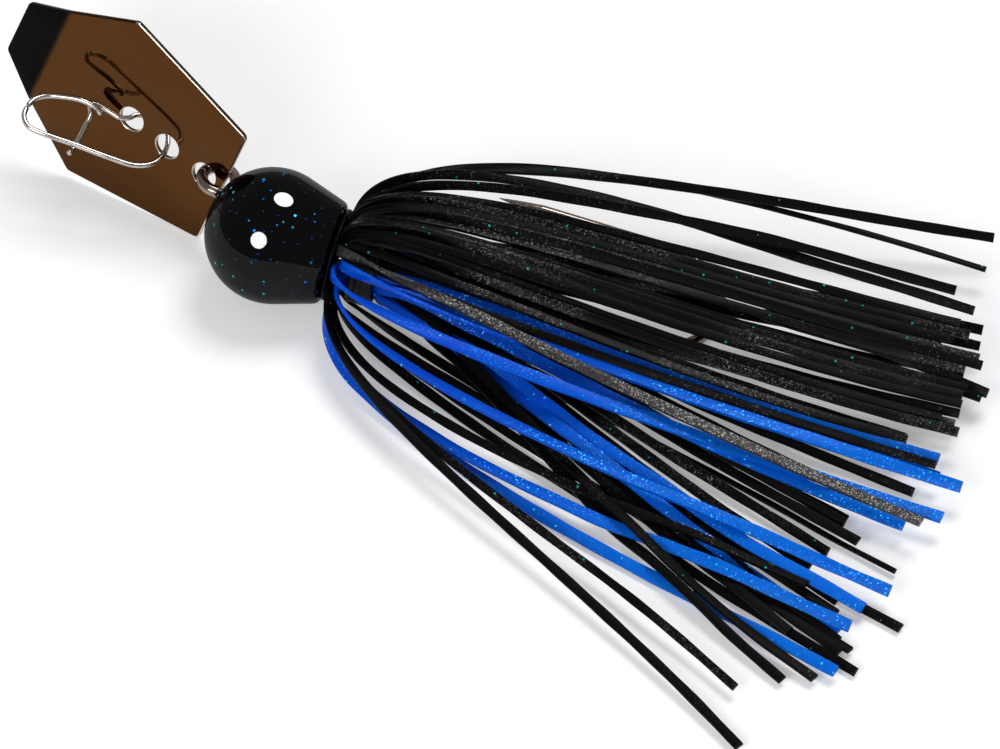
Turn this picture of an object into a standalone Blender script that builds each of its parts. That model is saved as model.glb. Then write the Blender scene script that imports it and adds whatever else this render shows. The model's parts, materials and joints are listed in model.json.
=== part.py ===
# A bladed fishing jig with a soft skirt, lying on its side as it would on a table.
# Metres, +Z up. +X runs from the blade to the skirt's tips and +Y towards the hook's point
# arm. The origin is at the bottom centre of the whole lure.
import math
import bpy
import bmesh
import numpy as np
from mathutils import Euler, Vector

# ---------------------------------------------------------------- sizes, in millimetres
mm = 0.001
gap = 0.3                    # clearance between neighbouring pieces

headRadius = 6.9
headRearFace = 6.4           # from the head's centre to its flat rear face
headTaper = 17.5             # slope of the cone that the ball runs into, degrees
headRearRound = 0.8          # rounding of the rear rim
headSides = 28
barrelRadius = 1.7           # the stem behind the head that the skirt is held on
keeperNeck = 1.4             # the thinner stem behind the barrel
keeperBarb = 1.8
keeperLength = 4.6

hookWire = 1.25
shankLength = 37.9           # from the head's centre to where the bend starts
bendRadius = 7.0
pointArm = 18.0              # from the end of the bend to the point
pointTaper = 4.0
barbHeight = 0.75
barbPlace = 5.2              # from the point to the barb's tip
eyeRadius = 1.7              # centre line of the ring at the hook's front
eyeAngle = 36.0              # the eye's leg leaves the head this far off the shank's line
eyeSeat = 0.6                # the ring's near side lies this deep in a pocket of the head
tailYaw = -15.7              # the shank's heading on the floor

bladeThick = 0.55
bladeTipHalf = 3.5           # half widths at the front tip, the shoulders and the rear
bladeShoulderHalf = 11.15
bladeRearHalf = 7.55
bladeShoulder = 11.5         # shoulders, from the front tip
bladeLength = 27.0
bladeBend = 4.6              # the tip is bent back from here
bladeBendAngle = 8.0
bladeBendZone = 1.2          # length of the rounded bend
bladeDrop = 0.4              # how far the blade hangs down in the hole's play on the ring
bladeCorner = 0.7
holeRadius = 1.35
holePitches = (4.6, 4.8)     # first to second hole, second to third
holeRearEdge = 2.3           # from the third hole's centre to the rear edge
bladeHeading = (-10.7, 16.2, -36.2)   # roll, dip and yaw, degrees

snapWire = 0.55
snapTilt = 17.5              # the snap's plane leans this far from the blade's normal
snapStep = snapWire + gap    # one wire passing over another

ribbonThick = 0.4
ribbonWide = 0.85
ribbonThin = 0.5             # the narrow strands
strandCount = 24
collarThick = 0.75
collarLength = 2.6
nestStep = 0.7               # between the two layers of strands under the collar
tailStations = 17
strandRoom = 0.17            # least room beside a wide strand, once they are eased apart
fanCentre = 5.9              # the tails' headings and reaches start this far behind the
                             # head's centre

# How each strand's two tails lie, one row for a strand, going round the collar from the
# hook's side over the top: colour, width, then the outer and the inner tail as heading in
# degrees, reach and tip height in millimetres, how far it first stands out from the
# collar, and how far its end turns from its heading, in degrees.
skirtRows = (
    ("black", "thin", (1, 66, 2.5, 15, -18), (-12, 65, 2.0, 8, 0)),
    ("black", "wide", (4, 67, 3.5, 12, -10), (-6.5, 66, 2.5, 8, -4)),
    ("black", "wide", (-5.5, 65, 4.0, 11, -15), (-10, 62, 2.0, 9, 0)),
    ("black", "wide", (-3.5, 63, 4.5, 9, -12), (-8.5, 66, 2.5, 9, -3)),
    ("black", "wide", (-9, 65, 4.5, 8, -4), (-14, 68, 2.5, 9, -12)),
    ("black", "wide", (-12.5, 67, 4.5, 8, -4), (-11, 66, 3.0, 9, 0)),
    ("black", "wide", (-16, 66, 4.0, 8, 0), (-17, 66, 2.5, 10, 2)),
    ("black", "wide", (-20, 67, 3.5, 8, 3), (-21.5, 62, 2.5, 10, 0)),
    ("grey", "wide", (-31, 69, 3.5, 6, 2), (-18.5, 66, 2.5, 10, 0)),
    ("blue", "wide", (-25.5, 70, 3.0, 8, 3), (-22.5, 66, 2.0, 10, 2)),
    ("blue", "wide", (-29, 70, 2.5, 9, 6), (-24.5, 67, 2.0, 10, 2)),
    ("blue", "wide", (-38, 71, 2.0, 11, 9), (-31, 67, 2.0, 10, 4)),
    ("black", "wide", (-57.5, 76, 0.8, 12, 2), (-48.5, 73, 0.8, 11, 6)),
    ("blue", "wide", (-43, 71, 1.6, 14, 12), (-40.5, 70, 1.0, 10, 5)),
    ("blue", "wide", (-47, 74, 1.2, 13, 11), (-43.5, 70, 0.8, 10, 4)),
    ("black", "wide", (-45.5, 75, 0.6, 5, 5), (-50.5, 71, 0.7, 10, 3)),
    ("black", "wide", (-40, 74, 0.6, 4, 3), (-45, 72, 0.7, 10, 2)),
    ("black", "wide", (-41.5, 68, 0.6, 3, 0), (-46.5, 67, 0.7, 10, 2)),
    ("black", "thin", (-35, 69, 0.6, 4, -4), (-41, 67, 0.7, 10, 0)),
    ("black", "wide", (-36.5, 62, 0.6, 4, -4), (-39.5, 62, 0.7, 10, -3)),
    ("black", "wide", (-32, 61, 0.6, 4, -3), (-34.5, 64, 1.0, 10, -2)),
    ("black", "wide", (-26, 65, 0.6, 4, -2), (-29, 61, 1.0, 10, -2)),
    ("black", "wide", (-22, 63, 0.6, 5, -2), (-24, 60, 1.0, 10, 0)),
    ("black", "thin", (-8, 62, 1.5, 8, -3), (-14.5, 64, 2.0, 9, 0)),
)

colours = {                  # base colour, roughness, metallic
    "bronze": ((0.085, 0.034, 0.009), 0.12, 1.0),
    "steel": ((0.62, 0.60, 0.56), 0.2, 1.0),
    "hook": ((0.16, 0.10, 0.06), 0.25, 1.0),
    "paint": ((0.006, 0.006, 0.008), 0.12, 0.0),
    "rubber": ((0.01, 0.01, 0.01), 0.5, 0.0),
    "black": ((0.007, 0.007, 0.007), 0.4, 0.0),
    "blue": ((0.0, 0.08, 0.7), 0.35, 0.0),
    "grey": ((0.07, 0.07, 0.08), 0.35, 0.2),
}

# ---------------------------------------------------------------- directions and places
# The lure lies on its head and on the hook's bend, so the shank slopes down to the bend.
tailSlope = (headRadius - hookWire / 2) / (shankLength + bendRadius)
levelShare = math.sqrt(1 - tailSlope ** 2)
yaw = math.radians(tailYaw)
bodyAxis = np.array([math.cos(yaw) * levelShare, math.sin(yaw) * levelShare, -tailSlope])
sideAxis = np.array([-math.sin(yaw), math.cos(yaw), 0.0])
upAxis = np.cross(bodyAxis, sideAxis)
headCentre = np.array([0.0, 0.0, headRadius])

# Strand layers from the barrel out: under the collar twice, then over the collar.
layerIn = barrelRadius + gap + ribbonThick / 2
layerOut = layerIn + nestStep
halfWide = ribbonWide / 2
strandSpace = ribbonWide + strandRoom    # least distance between two strands' centre lines
collarInner = math.hypot(layerOut + ribbonThick / 2, halfWide) + gap
collarOuter = collarInner + collarThick
turnRadius = (layerOut + collarOuter + gap + ribbonThick / 2) / 2
turnReach = turnRadius - layerIn
collarFront = headRearFace + gap + turnReach + ribbonThick / 2 + gap
collarRear = collarFront + collarLength
barrelEnd = collarRear + 0.6
keeperEnd = barrelEnd + keeperLength


def bodyPoint(along, side=0.0, up=0.0):
    """A place measured from the head's centre along the three body directions."""
    return headCentre + along * bodyAxis + side * sideAxis + up * upAxis


def aroundPoint(along, radius, angle):
    """A place at a radius and an angle round the body axis."""
    return bodyPoint(along, radius * math.cos(angle), radius * math.sin(angle))


def unit(vector):
    return vector / np.linalg.norm(vector)


# ---------------------------------------------------------------- building helpers
def material(name):
    base, roughness, metallic = colours[name]
    made = bpy.data.materials.get(name) or bpy.data.materials.new(name)
    made.use_nodes = True
    shader = made.node_tree.nodes["Principled BSDF"]
    shader.inputs["Base Color"].default_value = (*base, 1.0)
    shader.inputs["Roughness"].default_value = roughness
    shader.inputs["Metallic"].default_value = metallic
    return made


def addPiece(name, points, faces, finish, parent):
    """One closed mesh piece; points in millimetres in the lure's frame."""
    mesh = bpy.data.meshes.new(name)
    origin = np.array(parent.matrix_world.translation) / mm
    mesh.from_pydata([Vector(p) for p in (np.asarray(points) - origin) * mm], [], faces)
    shape = bmesh.new()
    shape.from_mesh(mesh)
    bmesh.ops.remove_doubles(shape, verts=shape.verts, dist=1e-6)
    bmesh.ops.recalc_face_normals(shape, faces=shape.faces)
    shape.to_mesh(mesh)
    shape.free()
    piece = bpy.data.objects.new(name, mesh)
    bpy.context.scene.collection.objects.link(piece)
    piece.parent = parent
    mesh.materials.append(material(finish))
    mesh.shade_smooth()
    mesh.set_sharp_from_angle(angle=math.radians(40))
    return piece


def addPivot(name, place, parent=None):
    """An empty on a joint's axis."""
    pivot = bpy.data.objects.new(name, None)
    bpy.context.scene.collection.objects.link(pivot)
    pivot.parent = parent
    base = Vector((0, 0, 0)) if parent is None else parent.matrix_world.translation
    pivot.location = Vector(np.asarray(place) * mm) - base
    bpy.context.view_layer.update()
    return pivot


def carriedFrames(path, first):
    """Tangents along a path, and normals carried along it with the least twist."""
    steps = np.diff(path, axis=0)
    steps /= np.linalg.norm(steps, axis=1)[:, None]
    tangents = np.vstack([steps[:1], steps[1:] + steps[:-1], steps[-1:]])
    tangents /= np.linalg.norm(tangents, axis=1)[:, None]
    normals = []
    normal = np.asarray(first, float)
    for tangent in tangents:
        normal = unit(normal - tangent * (normal @ tangent))
        normals.append(normal)
    return tangents, np.array(normals)


def sweptMesh(path, sections, first):
    """Points and faces of sections (stations x corners x 2) carried along a path."""
    path = np.asarray(path, float)
    tangents, normals = carriedFrames(path, first)
    sides = np.cross(tangents, normals)
    points = (path[:, None] + sections[..., :1] * normals[:, None]
              + sections[..., 1:] * sides[:, None])
    return points.reshape(-1, 3), tubeFaces(*sections.shape[:2])


def tubeFaces(stations, corners):
    """Quads between neighbouring stations, and a cap at each end."""
    faces = []
    for station in range(stations - 1):
        for corner in range(corners):
            after = (corner + 1) % corners
            low, high = station * corners, (station + 1) * corners
            faces.append((low + corner, low + after, high + after, high + corner))
    faces.append(tuple(range(corners))[::-1])
    faces.append(tuple((stations - 1) * corners + c for c in range(corners)))
    return faces


def roundSections(radii, corners):
    angles = np.arange(corners) * 2 * np.pi / corners
    ring = np.stack([np.cos(angles), np.sin(angles)], axis=1)
    return np.asarray(radii, float)[:, None, None] * ring


def smoothPath(points, spacing):
    """A centripetal curve through the points, sampled about every spacing."""
    points = np.asarray(points, float)
    ends = np.vstack([2 * points[0] - points[1], points, 2 * points[-1] - points[-2]])
    out = []
    for i in range(1, len(ends) - 2):
        a, b, c, d = ends[i - 1:i + 3]
        count = max(1, round(np.linalg.norm(c - b) / spacing))
        for t in np.arange(count) / count:
            out.append(0.5 * (2 * b + (c - a) * t + (2 * a - 5 * b + 4 * c - d) * t ** 2
                              + (3 * b - a - 3 * c + d) * t ** 3))
    return np.array(out + [points[-1]])


def cornerArc(corner, before, after, radius, steps):
    """A rounded corner between two straight runs with the given directions."""
    turn = math.acos(np.clip(before @ after, -1, 1))
    reach = radius * math.tan(turn / 2)
    start, end = corner - before * reach, corner + after * reach
    ts = np.linspace(0, 1, steps + 1)[:, None]
    return (1 - ts) ** 2 * start + 2 * ts * (1 - ts) * corner + ts ** 2 * end


def addTurned(name, profile, closed, finish, parent, sides=headSides):
    """A profile of (along, radius) turned round the body axis, open ends at radius 0."""
    count = len(profile)
    angles = np.arange(sides) * 2 * math.pi / sides
    points = [aroundPoint(s, r, angle) for angle in angles for s, r in profile]
    faces = []
    for turn in range(sides):
        here, there = turn * count, (turn + 1) % sides * count
        for i in range(count if closed else count - 1):
            j = (i + 1) % count
            corners = [here + i, here + j, there + j, there + i]
            if profile[i][1] == 0:
                corners = [here + i, here + j, there + j]
            elif profile[j][1] == 0:
                corners = [here + i, here + j, there + i]
            faces.append(tuple(corners))
    return addPiece(name, points, faces, finish, parent)


def cutBy(piece, cutter):
    cutter.hide_render = True
    cutter.display_type = 'WIRE'
    cut = piece.modifiers.new(cutter.name, 'BOOLEAN')
    cut.operation = 'DIFFERENCE'
    cut.solver = 'EXACT'
    cut.object = cutter


# ---------------------------------------------------------------- hook and head
eye = math.radians(eyeAngle)
eyeOut = np.array([-math.cos(eye), math.sin(eye)])       # head centre to ring centre
eyeSide = np.array([math.sin(eye), math.cos(eye)])
eyeReach = headRadius + gap + eyeRadius + hookWire / 2 - eyeSeat
eyeCentre = bodyPoint(*(eyeReach * eyeOut))


def hookLine():
    """The hook's centre line in its own plane, from the ring's free end to the point."""
    turns = np.radians(np.linspace(300, 50, 12))
    ring = [eyeReach * eyeOut + eyeRadius * (-math.cos(t) * eyeOut + math.sin(t) * eyeSide)
            for t in turns]
    last = turns[-1]
    inLeg = eyeRadius / math.cos(last)                    # ring's tangent meets the leg here
    corner = (eyeReach - inLeg) * eyeOut
    blend = [ring[-1] * (1 - t) ** 2 + corner * 2 * t * (1 - t) + (corner - eyeOut) * t ** 2
             for t in (0.3, 0.65, 1.0)]
    shank = np.array([1.0, 0.0])
    neck = cornerArc(np.zeros(2), -eyeOut, shank, 3.0, 4)
    straight = [shank * shankLength * share for share in (0.25, 0.5, 0.75)]
    turns = np.radians(np.linspace(-90, 90, 15))
    bend = [np.array([shankLength + bendRadius * math.cos(t), bendRadius * (1 + math.sin(t))])
            for t in turns]
    armY = 2 * bendRadius
    back = [barbPlace + 3.5, barbPlace + 0.15, barbPlace, pointTaper, pointTaper / 2, 0.0]
    arm = [np.array([shankLength - pointArm + b, armY]) for b in back]
    front = ring + blend + list(neck) + straight
    return np.array(front + bend + arm), len(ring), len(front)


hookPlan, ringCount, bendStation = hookLine()
hookPath = np.array([bodyPoint(s, side) for s, side in hookPlan])


def hookRadii():
    radii = np.full(len(hookPath), hookWire / 2)
    radii[-2] *= 0.62
    radii[-1] = 0.08
    return radii


def addHook(parent):
    corners = 8
    sections = roundSections(hookRadii(), corners)
    # carried normals start along upAxis, which is square to the hook's plane
    points, faces = sweptMesh(hookPath, sections, upAxis)
    barb = len(hookPath) - 4                              # station at the barb's tip
    ring = points[barb * corners:(barb + 1) * corners]
    inward = (ring - hookPath[barb]) @ sideAxis
    ring[np.argmin(inward)] -= barbHeight * sideAxis
    return addPiece("hook", points, faces, "hook", parent)


def addHead(parent):
    """Egg-shaped head, flat at the rear, with the barrel and the keeper cast on it."""
    taper = math.radians(headTaper)
    arcs = np.linspace(math.pi, math.pi / 2 - taper, 15)
    profile = [(headRadius * math.cos(t), abs(headRadius * math.sin(t))) for t in arcs]
    profile[0] = (-headRadius, 0)
    rim = np.array([headRearFace,
                    (headRadius - headRearFace * math.sin(taper)) / math.cos(taper)])
    cone = np.array([math.cos(taper), -math.sin(taper)])
    rounded = cornerArc(rim, cone, np.array([0.0, -1.0]), headRearRound, 4)
    profile += [(along, radius) for along, radius in rounded]
    profile += [(headRearFace, barrelRadius), (barrelEnd, barrelRadius),
                (barrelEnd, keeperNeck), (barrelEnd + 1.4, keeperNeck),
                (barrelEnd + 1.6, keeperBarb), (keeperEnd, keeperNeck), (keeperEnd, 0)]
    head = addTurned("head_casting", profile, False, "paint", parent)
    # the channel that the hook's wire runs in, open at the eye and behind the keeper, and
    # the pocket that the ring's free end lies in
    half = ringCount // 2
    along = (hookPath - headCentre) @ bodyAxis
    inside = [i for i in range(half, bendStation) if along[i] < keeperEnd]
    channel = [hookPath[i] for i in inside] + [bodyPoint(keeperEnd + 2)]
    tip = unit(hookPath[0] - hookPath[1])
    pocket = [hookPath[0] + tip * gap] + list(hookPath[:half])
    for name, route in (("channel_cutter", channel), ("pocket_cutter", pocket)):
        radii = np.full(len(route), hookWire / 2 + gap)
        points, faces = sweptMesh(route, roundSections(radii, 12), upAxis)
        cutBy(head, addPiece(name, points, faces, "rubber", parent))
    return head


def addCollar(parent):
    edge = 0.2
    profile = [(collarFront, collarInner), (collarRear, collarInner),
               (collarRear, collarOuter - edge), (collarRear - edge, collarOuter),
               (collarFront + edge, collarOuter), (collarFront, collarOuter - edge)]
    return addTurned("skirt_collar", profile, True, "rubber", parent, 32)


# ---------------------------------------------------------------- blade
# The blade is drawn with its length on X from the front tip, its width on Z and its front
# face towards -Y, then turned and hung on the ring by its third hole.
bladeTurn = Euler([math.radians(angle) for angle in bladeHeading], 'XYZ').to_matrix()
bladeAlong = np.array(bladeTurn @ Vector((1, 0, 0)))
bladeWidth = np.array(bladeTurn @ Vector((0, 0, 1)))
bladeFront = np.array(bladeTurn @ Vector((0, -1, 0)))
holePlaces = (bladeLength - holeRearEdge - sum(holePitches),
              bladeLength - holeRearEdge - holePitches[1], bladeLength - holeRearEdge)
ringToHole = unit(upAxis * (bladeAlong @ upAxis) - bladeAlong)
bladeTip = (eyeCentre + eyeRadius * ringToHole - holePlaces[2] * bladeAlong
            - np.array([0.0, 0.0, bladeDrop]))


def bladePoint(along, width=0.0, front=0.0):
    return bladeTip + along * bladeAlong + width * bladeWidth + front * bladeFront


def bladeOutline():
    corners = [(0, -bladeTipHalf), (bladeShoulder, -bladeShoulderHalf),
               (bladeLength, -bladeRearHalf), (bladeLength, bladeRearHalf),
               (bladeShoulder, bladeShoulderHalf), (0, bladeTipHalf)]
    corners = [np.array(c, float) for c in corners]
    outline = []
    for i, corner in enumerate(corners):
        before = unit(corner - corners[i - 1])
        after = unit(corners[(i + 1) % len(corners)] - corner)
        outline += list(cornerArc(corner, before, after, bladeCorner, 3))
    return outline


def addBlade(parent):
    half = bladeThick / 2
    outline = bladeOutline()
    count = len(outline)
    mesh = bmesh.new()
    low = [mesh.verts.new((u, -half, v)) for u, v in outline]
    high = [mesh.verts.new((u, half, v)) for u, v in outline]
    mesh.faces.new(low)
    mesh.faces.new(high[::-1])
    for i in range(count):
        j = (i + 1) % count
        mesh.faces.new((low[i], high[i], high[j], low[j]))
    for place in bladeBend + np.linspace(-0.5, 0.5, 6) * bladeBendZone:
        everything = mesh.verts[:] + mesh.edges[:] + mesh.faces[:]
        bmesh.ops.bisect_plane(mesh, geom=everything, dist=1e-5,
                               plane_co=(place, 0, 0), plane_no=(1, 0, 0))
    for vert in mesh.verts:
        vert.co = bentPlace(vert.co, bladeBendZone)
    points = [np.array(v.co) for v in mesh.verts]
    mesh.verts.index_update()
    faces = [tuple(v.index for v in face.verts) for face in mesh.faces]
    mesh.free()
    placed = [bladePoint(p[0], p[2], -p[1]) for p in points]
    blade = addPiece("blade", placed, faces, "bronze", parent)
    for i, place in enumerate(holePlaces):
        route = [bladePoint(place, 0, -2), bladePoint(place, 0, 2)]
        sections = roundSections([holeRadius] * 2, 20)
        cutter = addPiece(f"hole_cutter_{i + 1}", *sweptMesh(route, sections, bladeWidth),
                          "rubber", parent)
        cutBy(blade, cutter)
    return blade


def bentPlace(co, zone):
    """Rolls the tip back, away from the front face, round a line across the blade."""
    start = bladeBend + zone / 2
    if co.x >= start:
        return co
    angle = math.radians(bladeBendAngle)
    radius = zone / angle
    turned = min((start - co.x) / radius, angle)
    rest = start - co.x - turned * radius
    offset = radius - co.y                                # from the bend's centre, in +Y
    x = start - offset * math.sin(turned) - rest * math.cos(turned)
    y = radius - offset * math.cos(turned) + rest * math.sin(turned)
    return Vector((x, y, co.z))


# ---------------------------------------------------------------- snap
# Snap places: forward along the blade from midway between the first two holes, out of the
# blade's front in the snap's leaning plane, and sideways out of that plane.
lean = math.radians(snapTilt)
snapForward = -bladeAlong
snapOut = math.cos(lean) * bladeFront - math.sin(lean) * bladeWidth
snapSide = np.cross(snapForward, snapOut)
snapOrigin = bladePoint((holePlaces[0] + holePlaces[1]) / 2)


def snapPoint(forward, out, side=0.0):
    return snapOrigin + forward * snapForward + out * snapOut + side * snapSide


loopEnd = (11.0, 6.4)        # where the spine's side of the line loop ends
spineArm = (
    (4.55, 7.45, -0.05), (4.62, 7.25, -0.6), (4.72, 6.5, -snapStep), (4.95, 5.3, -0.6),
    (5.3, 3.9, -0.1), (5.75, 2.6, 0), (6.45, 1.75, 0), (6.0, 1.3, 0), (4.6, 1.05, 0),
    (3.4, 0.9, 0), (2.65, 0.3, 0), (2.2, -0.6, 0), (1.2, -1.2, 0), (0, -1.35, 0),
    (-1.2, -1.1, 0), (-2.05, -0.25, 0), (-2.55, 1.0, 0), (-2.45, 2.7, 0), (-1.2, 4.2, 0),
    (1.2, 5.25, 0), (4.7, 6.5, 0), (7.9, 7.75, 0), (9.4, 8.1, 0), (10.5, 7.5, 0),
    (*loopEnd, 0))
lineArm = (
    (11.0, 6.4 - gap, 0), (10.95, 5.2, 0), (10.2, 4.0, 0.1), (8.7, 3.1, 0.5),
    (7.3, 2.5, snapStep), (6.0, 2.15, snapStep), (5.2, 2.05, 0.6), (4.95, 2.05, 0.1))


def addSnapPiece(name, places, parent):
    route = smoothPath([snapPoint(*place) for place in places], 0.8)
    sections = roundSections([snapWire / 2] * len(route), 6)
    return addPiece(name, *sweptMesh(route, sections, snapSide), "steel", parent)


# ---------------------------------------------------------------- skirt
# Each strand is one ribbon: its middle lies under the collar, its inner tail leaves behind
# the collar, and its outer tail leaves in front of it and is swept back over it.
turnSteps = 5
turnEnd = math.radians(100)
fanStart = bodyPoint(fanCentre)
# the clear space inside the hook's bend, low and high corners from the head's centre line
gapBoxPlan = (shankLength - 8.0, bendRadius)
gapHalf = (5.0, 4.4)
gapTop = 4.8


def strandAngle(index):
    return math.radians((index + 0.5) * 360 / strandCount)


def strandLayer(index):
    return layerIn if index % 2 == 0 else layerOut


def heldPath(index):
    """The fixed middle: under the collar from its rear, then round its front edge."""
    angle, layer = strandAngle(index), strandLayer(index)
    radius = turnRadius - layer
    places = [(collarRear, layer), (collarFront, layer)]
    for turn in np.linspace(0, turnEnd, turnSteps + 1)[1:]:
        places.append((collarFront - radius * math.sin(turn),
                       turnRadius - radius * math.cos(turn)))
    return np.array([aroundPoint(s, r, angle) for s, r in places])


def tailCurve(start, leave, tail):
    """A free tail before it meets its neighbours, as one curve with two handles."""
    heading, reach, height, flare, turn = tail
    fan = math.radians(heading)
    tip = np.array([fanStart[0] + reach * math.cos(fan), fanStart[1] + reach * math.sin(fan),
                    height])
    end = math.radians(heading + turn)
    finish = np.array([math.cos(end), math.sin(end), -0.03])
    first = start + leave * flare
    second = tip - finish * reach * 0.45
    if heading > tailYaw:                                 # these ride over the hook
        second[2] = max(second[2], gapTop + 2.0)
    ts = (np.linspace(0, 1, tailStations) ** 1.25)[:, None]
    return ((1 - ts) ** 3 * start + 3 * ts * (1 - ts) ** 2 * first
            + 3 * ts ** 2 * (1 - ts) * second + ts ** 3 * tip)


def firstTails():
    tails = []
    for index, (_, _, outer, inner) in enumerate(skirtRows):
        held = heldPath(index)
        leaveFront = unit(held[-1] - held[-2])
        level = np.array([math.cos(math.radians(inner[0])), math.sin(math.radians(inner[0])),
                          0.0])
        leaveRear = unit(2 * bodyAxis + level)
        tails.append(tailCurve(held[-1], leaveFront, outer))
        tails.append(tailCurve(held[0], leaveRear, inner))
    return np.array(tails)


def nearestOnRuns(points, starts, ends):
    """For each point, the offset from its nearest place on each straight run."""
    runs = ends - starts
    share = ((points - starts) * runs).sum(-1) / (runs ** 2).sum(-1)
    return points - starts - np.clip(share, 0, 1)[..., None] * runs


def pushApart(tails, space):
    """Moves tails off each other where their centre lines come closer than space."""
    count, stations = tails.shape[:2]
    moves = np.zeros_like(tails)
    reachOver = 3
    for shift in range(-reachOver, reachOver + 1):
        own = np.arange(max(0, -shift), min(stations - 1, stations - 1 - shift))
        starts, ends = tails[None, :, own + shift], tails[None, :, own + shift + 1]
        for share in (0.0, 0.5):
            points = tails[:, own] * (1 - share) + tails[:, own + 1] * share
            offset = nearestOnRuns(points[:, None], starts, ends)
            distance = np.linalg.norm(offset, axis=-1)
            distance[np.arange(count), np.arange(count)] = space
            short = np.clip(space - distance, 0, None)
            push = offset / np.maximum(distance, 1e-3)[..., None] * short[..., None] * 0.4
            push = push.sum(axis=1)
            moves[:, own] += push * (1 - share)
            moves[:, own + 1] += push * share
    return np.clip(moves, -0.6, 0.6)


def pushOffHeld(tails, held, space):
    """Moves tails off the parts of the other strands that lie round the collar."""
    starts, ends = held[:, :-1].reshape(1, -1, 3), held[:, 1:].reshape(1, -1, 3)
    owner = np.repeat(np.arange(strandCount), held.shape[1] - 1)
    moves = np.zeros_like(tails)
    near = 6                                              # stations that can reach the collar
    for share in (0.0, 0.5):
        points = tails[:, :near] * (1 - share) + tails[:, 1:near + 1] * share
        offset = nearestOnRuns(points.reshape(-1, 1, 3), starts, ends)
        distance = np.linalg.norm(offset, axis=-1)
        mine = np.repeat(np.arange(len(tails)) // 2, near)
        distance[mine[:, None] == owner[None]] = space
        short = np.clip(space - distance, 0, None)
        push = (offset / np.maximum(distance, 1e-3)[..., None] * short[..., None]).sum(axis=1)
        push = push.reshape(len(tails), near, 3) * 0.5
        moves[:, :near] += push * (1 - share)
        moves[:, 1:near + 1] += push * share
    return np.clip(moves, -0.6, 0.6)


def pushOffHook(tails):
    """Keeps tails off the hook's wire, tested at the stations and between them."""
    keep = (hookWire + ribbonWide) / 2 + 0.15
    starts, ends = hookPath[:-1], hookPath[1:]
    moves = np.zeros_like(tails)
    for share in (0.0, 0.25, 0.5, 0.75):
        between = tails[:, :-1] * (1 - share) + tails[:, 1:] * share
        shape = between.reshape(-1, 1, 3)
        offset = nearestOnRuns(shape, starts[None], ends[None])
        distance = np.linalg.norm(offset, axis=-1)
        rows = np.arange(len(shape))
        nearest = distance.argmin(axis=1)
        offset, distance = offset[rows, nearest], distance[rows, nearest]
        short = np.clip(keep - distance, 0, None)
        push = offset / np.maximum(distance, 1e-3)[:, None] * short[:, None]
        push = push.reshape(between.shape)
        moves[:, :-1] += push * (1 - share)
        moves[:, 1:] += push * share
    return moves


def pushOffBody(tails):
    """Keeps tails off the stem, and the outer ones outside the collar."""
    fromHead = tails - headCentre
    along = fromHead @ bodyAxis
    across = fromHead - along[..., None] * bodyAxis
    radius = np.linalg.norm(across, axis=-1)
    least = np.where(along < keeperEnd + 1, keeperBarb + halfWide + 0.1, 0.0)
    isOuter = (np.arange(len(tails)) % 2 == 0)[:, None]
    overCollar = isOuter & (along > collarFront - 0.3) & (along < collarRear + 0.8)
    least = np.where(overCollar, collarOuter + gap + halfWide, least)
    short = np.clip(least - radius, 0, None)
    moves = across / np.maximum(radius, 1e-3)[..., None] * short[..., None]
    front = headRearFace + gap + halfWide
    ahead = np.clip(front - along, 0, None) * (radius < headRadius + 3)
    return moves + ahead[..., None] * bodyAxis


def gapBox():
    """The clear box inside the hook's bend, as low and high corners."""
    centre = bodyPoint(*gapBoxPlan)
    low = np.array([centre[0] - gapHalf[0], centre[1] - gapHalf[1], 0.0])
    high = np.array([centre[0] + gapHalf[0], centre[1] + gapHalf[1], gapTop])
    return low, high


def keepOut(tails):
    """Lifts tails over the hook's clear space and off the floor."""
    low, high = gapBox()
    edge = halfWide + 0.15
    inside = ((tails[..., 0] > low[0] - 2.5) & (tails[..., 0] < high[0] + 2.5)
              & (tails[..., 1] > low[1] - edge) & (tails[..., 1] < high[1] + edge)
              & (tails[..., 2] < high[2] + edge))
    lifted = tails.copy()
    lifted[..., 2] = np.where(inside, high[2] + edge, tails[..., 2])
    lifted[..., 2] = np.maximum(lifted[..., 2], halfWide + 0.05)
    return lifted


def settledTails():
    """The tails laid out, then eased apart until each has its own room."""
    design = firstTails()
    tails = design.copy()
    held = np.array([heldPath(index) for index in range(strandCount)])
    rounds = 200
    for turn in range(rounds):
        ease = 0.06 * max(0.0, 1 - 1.25 * turn / rounds)  # the last rounds only part them
        moves = ease * (design - tails)
        curve = np.zeros_like(tails)
        curve[:, 1:-1] = (tails[:, 2:] + tails[:, :-2]) / 2 - tails[:, 1:-1]
        designCurve = np.zeros_like(tails)
        designCurve[:, 1:-1] = (design[:, 2:] + design[:, :-2]) / 2 - design[:, 1:-1]
        moves += 4 * ease * (curve - designCurve)
        moves += pushApart(tails, strandSpace + 0.06) + pushOffHeld(tails, held, strandSpace)
        moves += pushOffHook(tails) + pushOffBody(tails)
        moves[:, 0] = 0
        tails = keepOut(tails + moves)
        tails[:, 0] = design[:, 0]
    return tails


def ribbonSections(stations, width):
    thick = ribbonThick / 2
    corners = np.array([(thick, width / 2), (-thick, width / 2),
                        (-thick, -width / 2), (thick, -width / 2)])
    return np.repeat(corners[None], stations, axis=0)


def addStrands(parent):
    tails = settledTails()
    for index, (colour, size, _, _) in enumerate(skirtRows):
        outer, inner = tails[2 * index], tails[2 * index + 1]
        held = heldPath(index)
        path = np.vstack([inner[::-1], held[1:-1], outer])
        width = ribbonWide if size == "wide" else ribbonThin
        middle = len(inner)
        outward = unit(held[1] - bodyPoint(collarFront))
        sections = ribbonSections(len(path), width)
        forward, faces = sweptFrom(path, sections, outward, middle)
        addPiece(f"skirt_strand_{index + 1:02d}", forward, faces, colour, parent)


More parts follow.
